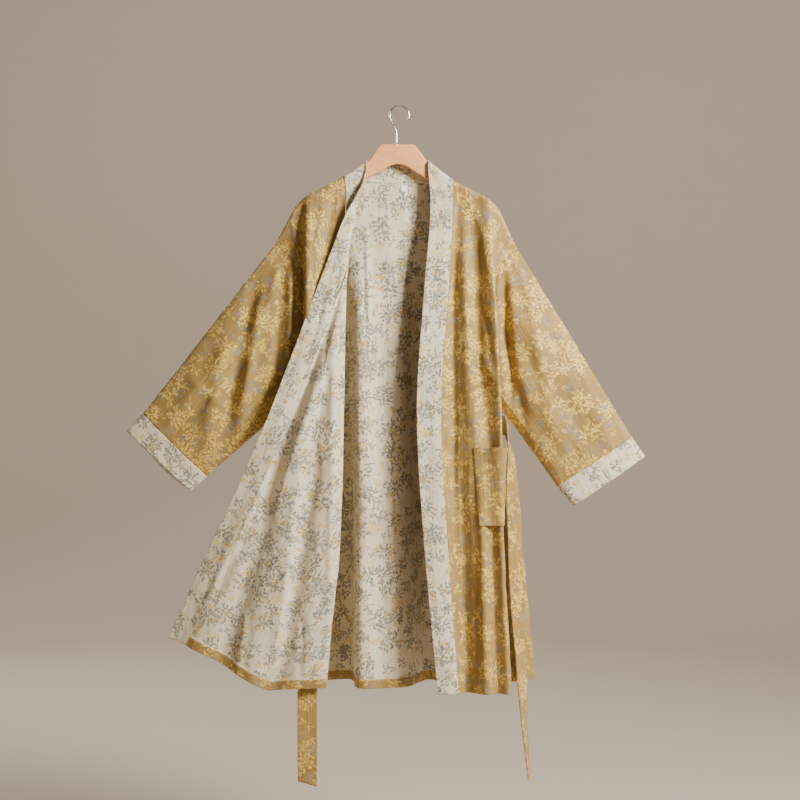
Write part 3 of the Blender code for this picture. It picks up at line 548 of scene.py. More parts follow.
def through(points, first, last, per_span):
    """Centripetal curve through the plan points of every height, from point first to point last.

    Each knot is the one before plus the square root of the distance; the curve is the
    Barry-Goldman blend of the straight lines between four neighbours.
    """
    points = np.stack(points, 1)
    before, after = 2 * points[:, :1] - points[:, 1:2], 2 * points[:, -1:] - points[:, -2:-1]
    points = np.concatenate([before, points, after], 1)
    kept = []
    for i in range(first, last):
        p0, p1, p2, p3 = (points[:, i + k][:, None] for k in range(4))
        t1 = np.maximum(np.linalg.norm(p1 - p0, axis=2, keepdims=True), 0.01) ** 0.5
        t2 = t1 + np.maximum(np.linalg.norm(p2 - p1, axis=2, keepdims=True), 0.01) ** 0.5
        t3 = t2 + np.maximum(np.linalg.norm(p3 - p2, axis=2, keepdims=True), 0.01) ** 0.5
        t = t1 + (t2 - t1) * np.linspace(0, 1, per_span, endpoint=(i == last - 1))[None, :, None]
        a1 = (t1 - t) / t1 * p0 + t / t1 * p1
        a2 = (t2 - t) / (t2 - t1) * p1 + (t - t1) / (t2 - t1) * p2
        a3 = (t3 - t) / (t3 - t2) * p2 + (t - t2) / (t3 - t2) * p3
        b1 = (t2 - t) / t2 * a1 + t / t2 * a2
        b2 = (t3 - t) / (t3 - t1) * a2 + (t - t1) / (t3 - t1) * a3
        kept.append((t2 - t) / (t2 - t1) * b1 + (t - t1) / (t2 - t1) * b2)
    return np.concatenate(kept, 1)


def on_grid(grid, rows, columns):
    """Points of a grid read straight between its rows and columns."""
    rows, columns = np.broadcast_arrays(rows, columns)
    i = np.clip(rows.astype(int), 0, grid.shape[0] - 2)
    j = np.clip(columns.astype(int), 0, grid.shape[1] - 2)
    a, b = (rows - i)[..., None], (columns - j)[..., None]
    return ((1 - a) * ((1 - b) * grid[i, j] + b * grid[i, j + 1])
            + a * ((1 - b) * grid[i + 1, j] + b * grid[i + 1, j + 1]))


class Drape:
    """A piece's plan curves at every 4 mm of height, cut evenly between two lengths along them.

    The point at a share across and a height is read between the four nearest entries.
    """

    def __init__(self, curve_at, stations_at, count=481):
        self.z = np.linspace(-90, -1190, 276)
        curve = curve_at(self.z)
        lengths = lengths_of(curve)
        stations = np.stack(np.broadcast_arrays(*stations_at(self.z, lengths[:, -1])), -1)
        even = np.linspace(0, 1, count)
        at = np.array([np.interp(even, (0, 1), row) for row in stations])
        # All rows are read in one call: each is moved on by more than its length
        apart = np.arange(len(self.z))[:, None] * 1e4
        at, lengths = (at + apart).ravel(), (lengths + apart).ravel()
        self.plan_rows = np.stack([np.interp(at, lengths, curve[..., k].ravel()) for k in (0, 1)],
                                  -1).reshape(len(self.z), count, 2)

    def plan(self, share, z):
        """Plan point, x and y, at a share across and a height."""
        levels, columns = self.plan_rows.shape[:2]
        level = np.clip((z - self.z[0]) / (self.z[1] - self.z[0]), 0, levels - 1.001)
        return on_grid(self.plan_rows, level, np.clip(share * (columns - 1), 0, columns - 1.001))

    def point(self, share, z):
        """Point of the cloth, brought in to the shoulder ridge in a quarter round at its top."""
        plan = self.plan(share, z)
        drop = np.clip((shoulder_z(plan[..., 0]) - z) / SHOULDER_ROLL, 0, 1)
        y = plan[..., 1] * np.sqrt(np.maximum(1 - (1 - drop) ** 2, 0))
        return np.stack([plan[..., 0], y, np.broadcast_to(z, y.shape)], -1)

    def top(self, share):
        """Height at which each column meets the shoulder ridge, by halving."""
        above, below = np.full(np.shape(share), -95.0), np.full(np.shape(share), -320.0)
        for _ in range(30):
            middle = (above + below) / 2
            under = shoulder_z(self.plan(share, middle)[..., 0]) > middle
            below, above = np.where(under, middle, below), np.where(under, above, middle)
        return below


def shoulder_z(x):
    """Shoulder ridge, each of its corners softened over 12 mm."""
    table = np.array(SHOULDER, float)
    return sum(np.interp(x + shift, table[:, 0], table[:, 1]) for shift in (-6, -3, 0, 3, 6)) / 5


def creases(x, z, table):
    """Relief in mm of creases drawn as straight lines in the front view.

    Each adds its depth times exp(-(distance / width) squared), faded beyond its two ends.
    """
    relief = np.zeros(np.broadcast(x, z).shape)
    for _, x0, z0, x1, z1, width, depth in table:
        run = math.hypot(x1 - x0, z1 - z0)
        along = ((x - x0) * (x1 - x0) + (z - z0) * (z1 - z0)) / run
        across = ((x - x0) * (z1 - z0) - (z - z0) * (x1 - x0)) / run
        fade = min(0.22 * run, 60)
        beyond = np.maximum(np.maximum(-along, along - run) + fade, 0) / fade
        relief += depth * np.exp(-(across / width) ** 2 - 1.4 * beyond ** 2)
    return relief


# One turn of a wave
FULL_TURN = 6.283


def rumple(u, v, seed, upright=3.2, strength=0.45):
    """Small soft unevenness of hung cloth: a few sine waves, longer down than across.

    Each wave bends another's phase, so that none of them runs straight or repeats.
    """
    chance = np.random.default_rng(seed)
    relief = np.zeros(np.broadcast(u, v).shape)
    for length, size in ((74, 1.2), (47, 0.9), (29, 0.6), (19, 0.34), (12, 0.2)):
        tilt, phase, bend = chance.uniform(-0.35, 0.35), *chance.uniform(0, FULL_TURN, 2)
        across = FULL_TURN * (u + tilt * v) / length
        down = FULL_TURN * v / (length * upright)
        relief += size * np.sin(across + 1.7 * np.sin(down + bend) + phase) * (
            0.6 + 0.4 * np.sin(0.63 * down + 0.4 * across + bend))
    return relief * strength


def unit(vectors):
    """The vectors at length one."""
    return vectors / np.maximum(np.linalg.norm(vectors, axis=-1, keepdims=True), 1e-9)


def facing(grid, around=False, flip=False):
    """Unit normals of a grid of points, out of the cloth, from the slopes both ways."""
    down = np.gradient(grid, axis=0)
    if around:
        wide = np.concatenate([grid[:, -2:], grid, grid[:, :2]], 1)
        across = np.gradient(wide, axis=1)[:, 2:-2]
    else:
        across = np.gradient(grid, axis=1)
    normal = unit(np.cross(down, across))
    return -normal if flip else normal


def cloth_wall(name, inner, outer, uv, materials, around=False, flip=False, turn_up=0):
    """Closed wall between an inner and an outer grid of points, with the cut cloth's UV.

    The first material faces out and the second in. turn_up counts the last rows whose inside
    shows the outer face, as a turned-up hem does.
    """
    rows, columns = inner.shape[:2]
    index = grid_index(rows, columns, around)
    outside = grid_faces(index)
    inside = outside[:, ::-1] + rows * columns
    edges = [(index[0, :-1], index[0, 1:]), (index[-1, 1:], index[-1, :-1])]
    if not around:
        edges += [(index[1:, 0], index[:-1, 0]), (index[:-1, -1], index[1:, -1])]
    rim = np.concatenate([np.stack([a, b, b + rows * columns, a + rows * columns], -1)
                          for a, b in edges])
    faces = np.concatenate([outside, inside, rim])
    kind = np.repeat((0, 1, 0), (len(outside), len(inside), len(rim)))
    kind[2 * len(outside) - turn_up * (index.shape[1] - 1):2 * len(outside)] = 0
    wide_uv = np.concatenate([uv, uv[:, -1:] * 2 - uv[:, -2:-1]], 1) if around else uv
    uv_quads = grid_faces(grid_index(*wide_uv.shape[:2]))
    flat_uv = wide_uv.reshape(-1, 2)
    corner_uv = np.concatenate([flat_uv[uv_quads], flat_uv[uv_quads[:, ::-1]],
                                uv.reshape(-1, 2)[rim % (rows * columns)]])
    if flip:
        faces, corner_uv = faces[:, ::-1], corner_uv[:, ::-1]
    points = np.concatenate([outer.reshape(-1, 3), inner.reshape(-1, 3)]) * MM
    return mesh_piece(name, points, faces, corner_uv, materials, kind)


def cloth_uv(grid, shift=(0.0, 0.0), middle=0.5):
    """UV of a grid in metres, as of the cloth laid flat.

    With h the length along a row from its middle, s the length down the middle column and c the
    cosine between the two there, u = h sqrt(1 - c squared) and v = -(s + h c).
    """
    centre = int(middle * (grid.shape[1] - 1))
    across = lengths_of(grid)
    across = across - across[:, [centre]]
    column = grid[:, centre]
    down = run_of(column)[:, None]
    row_way = unit(grid[:, min(centre + 3, grid.shape[1] - 1)] - grid[:, max(centre - 3, 0)])
    slant = (row_way * unit(np.gradient(column, axis=0))).sum(1)
    reach = len(slant) // 8
    padded = np.pad(slant, reach, mode="edge")
    slant = np.convolve(padded, np.ones(2 * reach + 1) / (2 * reach + 1), "valid")[:, None]
    u, v = across * np.sqrt(1 - slant ** 2), -(down + across * slant)
    return np.stack([u * MM + shift[0], v * MM + shift[1]], -1)


def panel_rows(top, armpit, hem):
    """Heights of a panel's rows, as a grid of rows by columns; the last rows are the turn-up."""
    top, armpit, hem = np.broadcast_arrays(top, armpit, hem)
    down = top + (armpit - top) * UPPER_SHARES[:, None]
    skirt = armpit + (hem + HEM_TURN - armpit) * np.linspace(0, 1, SKIRT_ROWS)[1:, None]
    return np.concatenate([down, skirt, np.array(HEM_FOLD)[:, None] + hem])


def edge_columns(count):
    """Shares across, with a narrow column along each edge."""
    return np.concatenate([[0, 0.0016], np.linspace(0.005, 0.995, count), [0.9984, 1]])


def back_curve(z):
    """Back from the left seam to the right one; the fronts' nearest folds steer its ends."""
    left, right = seam_points(SEAM_LEFT, z, 3), seam_points(SEAM_RIGHT, z, 3)
    under, front = fold_points(UNDER_FOLDS, z)[0], fold_points(FRONT_FOLDS, z)[-1]
    before = np.where((z > ARMPIT_LEFT_Z)[:, None], left + (-ARM_X, ARM_Y), under)
    after = np.where((z > ARMPIT_RIGHT_Z)[:, None], right + (ARM_X, ARM_Y), front)
    points = [before, left] + fold_points(BACK_FOLDS, z) + [right, after]
    return through(points, 1, len(points) - 2, SPAN)


back_drape = Drape(back_curve, lambda z, total: (0 * z + HALF_GAP, total - HALF_GAP))
# Closer columns over two narrow folds; columns nearer than 0.0015 are left out
back_shares = np.unique(np.concatenate([edge_columns(142), np.linspace(0.30, 0.36, 12),
                                        np.linspace(0.60, 0.70, 16)]))
back_shares = back_shares[np.diff(back_shares, prepend=-1) > 0.0015]
# Ends of the neck seam, and its corner's drop from the ridge at a distance in from its end
NECK_CORNER_X, CORNER_REACH = (-117, 106), 22
NECK_CORNER = np.array(((0, 0), (3, 1.1), (6, 3.6), (9, 6.3), (14, 12), (CORNER_REACH, 22)), float)


def neck_top(x, ridge):
    """Height of the back's top edge: a straight neck seam between two soft corners."""
    inside = np.minimum(x - NECK_CORNER_X[0], NECK_CORNER_X[1] - x)
    drop = np.interp(inside, *NECK_CORNER.T)
    level = np.maximum(shoulder_z(x) - drop, NECK_SEAM_Z)
    return np.where(inside <= 0, ridge, np.where(inside < CORNER_REACH, level, NECK_SEAM_Z))


ridge = back_drape.top(back_shares)
back_top = neck_top(back_drape.plan(back_shares, ridge)[..., 0], ridge)
armpits = ARMPIT_LEFT_Z + (ARMPIT_RIGHT_Z - ARMPIT_LEFT_Z) * back_shares
back_z = panel_rows(back_top, armpits, HEM_Z + 12 * (1 - back_shares) ** 6)
back_flat = back_drape.point(back_shares, back_z)
back_uv = cloth_uv(back_flat, (0.013, 0.0))


def seam_ease(shares, z, top, width):
    """1 over a panel and 0 at its top and side edges, so that neighbours still meet there."""
    side = np.clip(np.minimum(shares, 1 - shares) * width / 16, 0, 1)
    down = np.clip((top - z) / 22, 0, 1)
    return (side * side * (3 - 2 * side)) * (down * down * (3 - 2 * down))


back_relief = (rumple(back_uv[..., 0] / MM, back_uv[..., 1] / MM, 11)
               - creases(back_flat[..., 0], back_flat[..., 2], BACK_CREASES)
               ) * seam_ease(back_shares, back_z, back_top, width=800)
back_out = facing(back_flat, flip=True)
back_inner = back_flat + back_out * back_relief[..., None]
back_outer = back_inner + back_out * CLOTH
back_inner[-HEM_ROWS:] -= back_out[-HEM_ROWS:] * HEM_LAYER
back = cloth_wall("back_panel", back_inner, back_outer, back_uv, (gold, pale), flip=True,
                  turn_up=HEM_ROWS)
finish_piece(back, "back", "gold_cloth", flat=(0.82, 1.02), held="hung",
             rests_on=["hanger_board"], area=0.53)


# Hanging front: the right one, gold face out. It falls straight from the shoulder beside the
# collar band, with two long flutes under the arm.
FRONT_CREASES = (
    ("shoulder drag one",  150, -190, 176, -330, 9, 2.2),
    ("shoulder drag two",  128, -180, 140, -300, 8, -1.6),
    ("band side dip",      106, -230, 110, -1120, 7, -3.6),
    ("breast ridge",       136, -300, 132, -620, 9, 2.6),
    ("breast valley",      158, -240, 160, -640, 8, -4.2),
    ("armpit pull one",    194, -560, 150, -470, 8, 2.6),
    ("armpit pull two",    192, -600, 140, -640, 9, 2.2),
    ("armpit pull three",  186, -520, 168, -400, 6, -2.0),
    ("skirt ridge",        112, -660, 128, -1150, 8, 2.0),
    ("skirt valley",       150, -700, 156, -1150, 8, -3.6),
    ("skirt fine ridge",   186, -860, 196, -1140, 6, 1.4),
)


def hanging_curve(z):
    """Hanging front from the band's free edge to the right seam."""
    seam = seam_points(SEAM_RIGHT, z, 2)
    beyond = np.where((z > ARMPIT_RIGHT_Z)[:, None], seam + (ARM_X, -ARM_Y),
                      fold_points(BACK_FOLDS, z)[-1])
    points = fold_points(FRONT_FOLDS, z) + [seam, beyond]
    return through(points, 0, len(points) - 2, SPAN)


def hanging_band_run(z):
    """Length across from the band's free edge to its seam, one fold on."""
    return lengths_of(hanging_curve(z))[:, SPAN]


def near_height(z, middle, reach):
    """1 at a height, falling straight to 0 at a reach from it."""
    return np.maximum(0, 1 - abs(z - middle) / reach)


front_drape = Drape(hanging_curve, lambda z, total: (
    hanging_band_run(z) + HALF_GAP + 0.4 * near_height(z, -149, 30), total - HALF_GAP))
front_shares = edge_columns(118)
front_top = front_drape.top(front_shares)
front_z = panel_rows(front_top, ARMPIT_RIGHT_Z, HEM_Z)
front_flat = front_drape.point(front_shares, front_z)
front_uv = cloth_uv(front_flat, (0.31, 0.02), middle=0)
front_relief = (rumple(front_uv[..., 0] / MM, front_uv[..., 1] / MM, 23)
                + creases(front_flat[..., 0], front_flat[..., 2], FRONT_CREASES)
                ) * seam_ease(front_shares, front_z, front_top, width=330)
front_out = facing(front_flat)
front_inner = front_flat + front_out * front_relief[..., None]
front_outer = front_inner + front_out * CLOTH
front_panel = cloth_wall("hanging_front", front_inner, front_outer, front_uv, (gold, pale),
                         turn_up=HEM_ROWS)
finish_piece(front_panel, "front_hanging", "gold_cloth", flat=(0.34, 1.08), held="hung",
             rests_on=["hanger_board"], area=0.18)


# Turned front: the left one. It is folded back along a soft roll, so that its off-white inside
# faces out; its hem is turned up to the inside by 18 mm and shows the gold face there.
BAND_WIDTH, TURNED_SPAN = 46, 8
# Roll: z, x of its edge, radius, degrees turned, width of the flap beyond it
TURN = (
    (-90, -60, 3, 0, 3), (-112, -66, 3, 14, 4), (-140, -70, 4, 52, 7), (-160, -73, 5, 88, 9),
    (-185, -79, 6, 128, 11), (-215, -87, 7, 160, 14), (-240, -92, 7, 175, 18),
    (-274, -98, 8, 180, 23), (-362, -104, 10, 180, 48), (-448, -106, 12, 180, 76),
    (-604, -109, 14, 180, 130), (-762, -112, 16, 180, 193), (-910, -119, 17, 180, 257),
    (-1060, -136, 18, 180, 307), (-1190, -147, 18, 180, 347))
# Hem: share across from the band's seam, height
TURNED_HEM = ((0, -1073), (0.17, -1099), (0.35, -1131), (0.44, -1147), (0.52, -1159),
              (0.58, -1156), (0.66, -1153), (1, -1153))
# y where the roll starts, at the fold heights
ROLL_START_Y = (-9, -13, -22, -24, -20, -16)
# Long swells of the turned part: middle and spread as shares of its width from the roll, depth
FLAP_FOLDS = (
    ("roll side swell", 0.10, 0.07, 4),
    ("first trough",    0.25, 0.06, -6),
    ("main swell",      0.42, 0.10, 9),
    ("main trough",     0.60, 0.07, -8),
    ("edge swell",      0.78, 0.10, 6),
)
FLAP_CREASES = (
    ("main groove top",  -118, -372, -150, -478, 9, -3.4),
    ("main groove",      -150, -470, -284, -830, 13, -4.8),
    ("main groove foot", -284, -820, -372, -985, 14, -3.6),
    ("groove's ridge",   -126, -450, -248, -820, 13, 5.4),
    ("far ridge",        -182, -500, -322, -830, 13, 3.6),
    ("second groove",    -156, -700, -182, -840, 9, -1.6),
    ("second foot",      -182, -830, -222, -1120, 12, -1.8),
    ("second ridge",     -206, -850, -250, -1120, 10, 2.6),
    ("roll ridge",       -128, -420, -140, -1080, 8, 2.4),
    ("middle ridge",     -196, -720, -250, -1090, 12, 3.0),
    ("edge valley",      -330, -800, -420, -1060, 9, -2.2),
    ("band drag",        -262, -700, -330, -900, 8, 1.8),
    ("hem pull one",     -300, -1000, -318, -1120, 8, 2.0),
    ("hem pull two",     -190, -1010, -196, -1140, 8, -1.8),
)
# The same for the part behind the flap
UNDER_CREASES = (
    ("arm valley",         -195, -196, -193, -560, 6, -6.0),
    ("arm ridge",          -181, -200, -180, -540, 8, 7.0),
    ("shoulder drag one",  -150, -180, -172, -330, 8, 2.2),
    ("shoulder drag two",  -128, -176, -150, -300, 7, -2.4),
    ("band side dip",      -112, -170, -128, -290, 6, -2.0),
)


def turned_curve(z):
    """Turned front from its free edge, over the roll, to the left seam behind it."""
    roll_x, radius, degrees, width = (read_table(z, TURN, k) for k in (1, 2, 3, 4))
    angle = np.radians(degrees)
    start_y = at_heights(z, ROLL_START_Y)
    arc = [np.stack([roll_x - radius + radius * np.sin(angle * k / 3),
                     start_y - radius + radius * np.cos(angle * k / 3)], 1) for k in range(4)]
    heading = np.stack([np.cos(angle), -np.sin(angle)], 1)
    toward = np.stack([np.sin(angle), np.cos(angle)], 1)
    fullness = np.clip((width - 30) / 250, 0, 1)
    flap = []
    for share in np.linspace(0, 1, 22)[1:]:
        lift = fullness * sum(depth * math.exp(-((share - middle) / spread) ** 2)
                              for _, middle, spread, depth in FLAP_FOLDS)
        lift = lift - share ** 2 * (24 * np.clip((width - 130) / 150, 0, 1)
                                    + 18 * np.clip((width - 200) / 100, 0, 1))
        flap.append(arc[-1] + heading * (width * share)[:, None] + toward * lift[:, None])
    seam = seam_points(SEAM_LEFT, z, 2)
    beyond = np.where((z > ARMPIT_LEFT_Z)[:, None], seam + (-ARM_X, -ARM_Y),
                      fold_points(BACK_FOLDS, z)[0])
    points = flap[::-1] + arc[::-1] + fold_points(UNDER_FOLDS, z)[::-1] + [seam, beyond]
    return through(points, 0, len(points) - 2, TURNED_SPAN)


turned_drape = Drape(turned_curve, lambda z, total: (
    BAND_WIDTH + HALF_GAP + 3.0 * near_height(z, -300, 120), total - HALF_GAP), count=901)
turned_shares = edge_columns(194)
turned_top = turned_drape.top(turned_shares)
turned_z = panel_rows(turned_top, ARMPIT_LEFT_Z, np.interp(turned_shares, *zip(*TURNED_HEM)))
turned_flat = turned_drape.point(turned_shares, turned_z)
turned_uv = cloth_uv(turned_flat, (-0.62, 0.06), middle=0)
turned_out = facing(turned_flat, flip=True)
on_flap = np.clip(turned_out[..., 1] * 2.5 - 0.6, 0, 1)
under = np.clip(-turned_out[..., 1] * 2.5 - 0.6, 0, 1)
turned_relief = (rumple(turned_uv[..., 0] / MM, turned_uv[..., 1] / MM, 37)
                 - creases(turned_flat[..., 0], turned_flat[..., 2], FLAP_CREASES) * on_flap * 1.7
                 + creases(turned_flat[..., 0], turned_flat[..., 2], UNDER_CREASES) * under
                 ) * seam_ease(turned_shares, turned_z, turned_top, width=520)
turned_inner = turned_flat + turned_out * turned_relief[..., None]
turned_outer = turned_inner + turned_out * CLOTH
turned_inner[-HEM_ROWS:] -= turned_out[-HEM_ROWS:] * HEM_LAYER
turned_panel = cloth_wall("turned_front", turned_inner, turned_outer, turned_uv, (gold, pale),
                          flip=True, turn_up=HEM_ROWS)
finish_piece(turned_panel, "front_turned", "pale_cloth", flat=(0.50, 1.06), held="folded",
             rests_on=["hanger_board"], area=0.235)


# Collar band: one folded strip of the off-white face, 46 mm wide, sewn round the neck and down
# both fronts. It is in three stretches, down each front and behind the neck.
BAND_THICK, BAND_EDGE = 2.6, 1.5
# Hems: share across from the free edge, height
HANGING_BAND_HEM, TURNED_BAND_HEM = ((0, HEM_Z), (1, HEM_Z)), ((0, -1059), (1, -1073))
HANGING_BAND_CREASES = (
    ("band swell one", 60, -250, 44, -560, 12, 1.4),
    ("band dip",       52, -600, 62, -800, 12, -1.5),
    ("band swell two", 62, -820, 90, -1140, 12, 1.6),
)
TURNED_BAND_CREASES = (
    ("band swell one", -150, -420, -200, -560, 12, 1.8),
    ("band dip",       -210, -590, -262, -740, 12, -2.0),
    ("band swell two", -290, -800, -350, -930, 12, 2.0),
    ("band dip two",   -360, -930, -420, -1020, 11, -1.8),
)
# Behind the neck: the ends and the height of the top edge, then x at the foot and at the top
NECK_TOP_X, NECK_TOP_Z, NECK_BACK_Y = (-63, 57), -109, 9.5
NECK_FAN = ((-95, -45.4), (-70, -36.4), (62, 32.2), (84, 39.4))


def soften(inner, outer, reach, edges):
    """Rounds a thick piece's edges: both faces draw together within reach of each named edge.

    The thickness falls as a quarter circle to a third at the edge itself.
    """
    along = {"left": (1, 1), "right": (1, -1), "top": (0, 1), "foot": (0, -1)}
    near = np.full(inner.shape[:2], 1.0)
    for edge in edges:
        axis, way = along[edge]
        line = inner if way == 1 else np.flip(inner, axis)
        gone = np.linalg.norm(np.diff(line, axis=axis), axis=2).cumsum(axis)
        gone = np.concatenate([np.zeros_like(np.take(gone, [0], axis)), gone], axis)
        near = np.minimum(near, np.clip((gone if way == 1 else np.flip(gone, axis)) / reach, 0, 1))
    kept = 0.33 + 0.67 * np.sqrt(1 - (1 - near) ** 2)
    middle, half = (inner + outer) / 2, (outer - inner) / 2
    return middle - half * kept[..., None], middle + half * kept[..., None]


def band_stretch(name, drape, armpit, hem, seed, table, flip, uv_shift):
    """A stretch of band down one front, with its folded free edge in the first column."""
    shares = np.concatenate([[0, 0.006, 0.014, 0.026], np.linspace(0.045, 0.988, 26), [1]])
    top = drape.top(shares)
    heights = panel_rows(top, armpit, np.interp(shares, *zip(*hem)))
    flat = drape.point(shares, heights)
    uv = cloth_uv(flat, uv_shift, middle=0)
    out = facing(flat, flip=flip)
    ease = np.clip((top - heights) / 30, 0, 1) * np.clip((1 - shares) * 6, 0, 1)
    toward = -out[..., 1]
    relief = (rumple(uv[..., 0] / MM * 1.6, uv[..., 1] / MM, seed, 2.2, 0.30)
              + creases(flat[..., 0], flat[..., 2], table) * toward) * ease
    inner = flat + out * relief[..., None]
    inner, outer = soften(inner, inner + out * BAND_THICK, BAND_EDGE, ("left", "foot"))
    piece = cloth_wall(name, inner, outer, uv, (pale, pale), flip=flip)
    return piece, inner, outer


band_drape = Drape(hanging_curve, lambda z, total: (0 * z, hanging_band_run(z) - HALF_GAP))
hanging_band, hanging_band_inner, hanging_band_outer = band_stretch(
    "hanging_collar_band", band_drape, ARMPIT_RIGHT_Z, HANGING_BAND_HEM, 5, HANGING_BAND_CREASES,
    False, (0.71, 0.0))
finish_piece(hanging_band, "band_hanging", "pale_cloth", flat=(0.046, 1.08), held="hung",
             rests_on=["hanger_board"], area=0.0485)
turned_band_drape = Drape(turned_curve, lambda z, total: (0 * z, BAND_WIDTH - HALF_GAP))
turned_band, turned_band_inner, turned_band_outer = band_stretch(
    "turned_collar_band", turned_band_drape, ARMPIT_LEFT_Z, TURNED_BAND_HEM, 8, TURNED_BAND_CREASES,
    True, (-0.9, 0.4))
finish_piece(turned_band, "band_turned", "pale_cloth", flat=(0.046, 1.0), held="folded",
             rests_on=["hanger_board"], area=0.042)


def neck_band():
    """Band behind the neck: columns from the left ridge line to the right one."""
    (left_foot, right_foot), (left_top, right_top) = NECK_CORNER_X, NECK_TOP_X
    inside = np.linspace(0, CORNER_REACH, 23)
    drop = np.interp(inside, *NECK_CORNER.T)
    middle = np.linspace(-92, 81, 60)
    foot = np.concatenate([left_foot + inside, middle, (right_foot - inside)[::-1]])
    top = np.concatenate([left_top + 0.8 * drop, np.interp(middle, *zip(*NECK_FAN)),
                          (right_top - 0.8 * drop)[::-1]])
    foot_z = neck_top(foot, shoulder_z(foot)) + 2 * HALF_GAP
    top_z = np.minimum(NECK_TOP_Z, shoulder_z(top))
    share = np.linspace(0, 1, 22)[:, None]
    x, z = foot + (top - foot) * share, foot_z + (top_z - foot_z) * share
    drop = np.clip((shoulder_z(x) - z) / SHOULDER_ROLL, 0, 1)
    return np.stack([x, NECK_BACK_Y * np.sqrt(1 - (1 - drop) ** 2), z], -1)


neck_inner = neck_band()
neck_out = facing(neck_inner)
neck_inner, neck_outer = soften(neck_inner, neck_inner + neck_out * BAND_THICK, BAND_EDGE,
                                ("foot",))
neck_uv = cloth_uv(neck_inner, (0.4, 0.9))
neck_piece = cloth_wall("neck_collar_band", neck_inner, neck_outer, neck_uv, (pale, pale))
finish_piece(neck_piece, "band_neck", "pale_cloth", flat=(0.23, 0.046), held="hung",
             rests_on=["hanger_board"], area=0.008)


# Sleeves: straight drop sleeves, each one panel folded along the top and sewn underneath. The
# armhole ring is the two panels' own edges, and the rings move from it to the cuff's flat oval.
ARMHOLE_GAP, SLEEVE_DEPTH, SEAM_DEPTH, MOUTH_DEPTH = 0.8, 22, 15, 13
CUFF_THICK, CUFF_EDGE, SLEEVE_ROWS, CUFF_ROWS = 2.4, 1.6, 120, 28
# x and z of the upper and the lower end of the cuff's seam and of its mouth, how strong the folds
# are and how far the mouth's back lip shows below the front one
LEFT_ARM = dict(seam=((-512, -614), (-386, -737)), mouth=((-545, -648), (-419, -767)),
                fullness=1, back_lip=8)
RIGHT_ARM = dict(seam=((463, -660), (316, -757)), mouth=((489, -700), (349, -797)),
                 fullness=0.4, back_lip=1.5)
# Seam allowance: its rows' distances from the armhole, and how far the first rows are sunk
SEAM_ROWS, SEAM_DIP = (-6, -2, -0.6), (2.6, 2.4, 2.0, 0.7, 0.2, 0.05)
# A name, share across at the armhole, at the cuff, spread, depth outwards
SLEEVE_FOLDS = (
    ("upper fold",   0.30, 0.22, 0.08, 5),
    ("upper trough", 0.46, 0.40, 0.07, -5),
    ("lower fold",   0.66, 0.62, 0.09, 5),
)
# Front creases of each sleeve as they fall, steeper than the sleeve itself
LEFT_CREASES = (
    ("deep valley top",   -286, -352, -311, -486, 15, -7.0),
    ("deep valley",       -311, -478, -352, -668, 16, -10.0),
    ("crest beside it",   -274, -372, -318, -640, 12, 6.5),
    ("far crest",         -338, -430, -388, -668, 15, 4.0),
    ("outer valley",      -372, -470, -468, -628, 14, -1.6),
    ("outer crest",       -330, -400, -430, -560, 12, 2.6),
    ("sleeve head ridge", -216, -300, -220, -520, 7, 6.0),
    ("armhole pull one",  -240, -310, -266, -420, 7, 2.4),
    ("armhole pull two",  -232, -340, -246, -540, 9, -5.0),
    ("cuff pucker one",   -440, -610, -470, -650, 7, 1.5),
    ("cuff pucker two",   -380, -640, -420, -700, 8, -1.8),
    ("elbow drag",        -420, -540, -350, -600, 9, 1.8),
)
RIGHT_CREASES = (
    ("armhole groove",    206, -320, 222, -590, 8, -11.0),
    ("body valley",       200, -410, 250, -640, 11, -6.5),
    ("front crest",       258, -380, 306, -660, 13, 4.0),
    ("middle valley",     286, -400, 352, -650, 15, -2.8),
    ("outer crest",       330, -440, 412, -660, 15, 3.0),
    ("outer valley",      380, -520, 440, -650, 13, -1.2),
    ("armhole pull one",  232, -300, 262, -400, 7, 2.2),
    ("armhole pull two",  252, -310, 300, -420, 7, -2.0),
    ("cuff pucker one",   400, -650, 424, -690, 7, 1.5),
    ("cuff pucker two",   340, -670, 366, -720, 8, -1.8),
    ("elbow drag",        330, -560, 270, -600, 9, 1.6),
)
SLEEVE_BACK_CREASES = (
    ("crest one",   0.35, 0.30, 0.05, 3.2),
    ("valley one",  0.50, 0.47, 0.05, -3.4),
    ("crest two",   0.72, 0.66, 0.06, 3.0),
)


def armhole_ring(front_edge, back_edge, outward):
    """Ring of the armhole, from its foot up the back to the top and down the front.

    Gives the ring's points, their share of the way from top to foot and the face each is on:
    -1 front, 1 back. Its lowest part is moved clear of the side seam.
    """
    top, foot = (front_edge[0] + back_edge[0]) / 2, (front_edge[-1] + back_edge[-1]) / 2
    ring = np.concatenate([[foot], back_edge[1:-1][::-1], [top], front_edge[1:-1]])
    face = np.concatenate([[0], np.ones(len(back_edge) - 2), [0], -np.ones(len(front_edge) - 2)])
    share = np.clip(np.linalg.norm(ring - top, axis=1) / np.linalg.norm(foot - top), 0, 1)
    ring = ring + np.outer(share ** 20, (1.2 * outward, 0, 3.4))
    return ring, share, face


def flat_oval(ends, depth, share, face):
    """Oval between two ends in the plane y = 0; half depth is depth times sqrt(4 s (1 - s))."""
    high, low = (np.array((x, 0, z), float) for x, z in ends)
    points = high + (low - high) * share[:, None]
    points[:, 1] = face * depth * np.sqrt(4 * share * (1 - share) + 1e-9)
    return points


def long_folds(share, s, table):
    """Folds that run from a share at the armhole, s = 0, to another one at the cuff, s = 1."""
    return sum(depth * np.exp(-((share - (arm_at + (cuff_at - arm_at) * s)) / spread) ** 2)
               for _, arm_at, cuff_at, spread, depth in table)


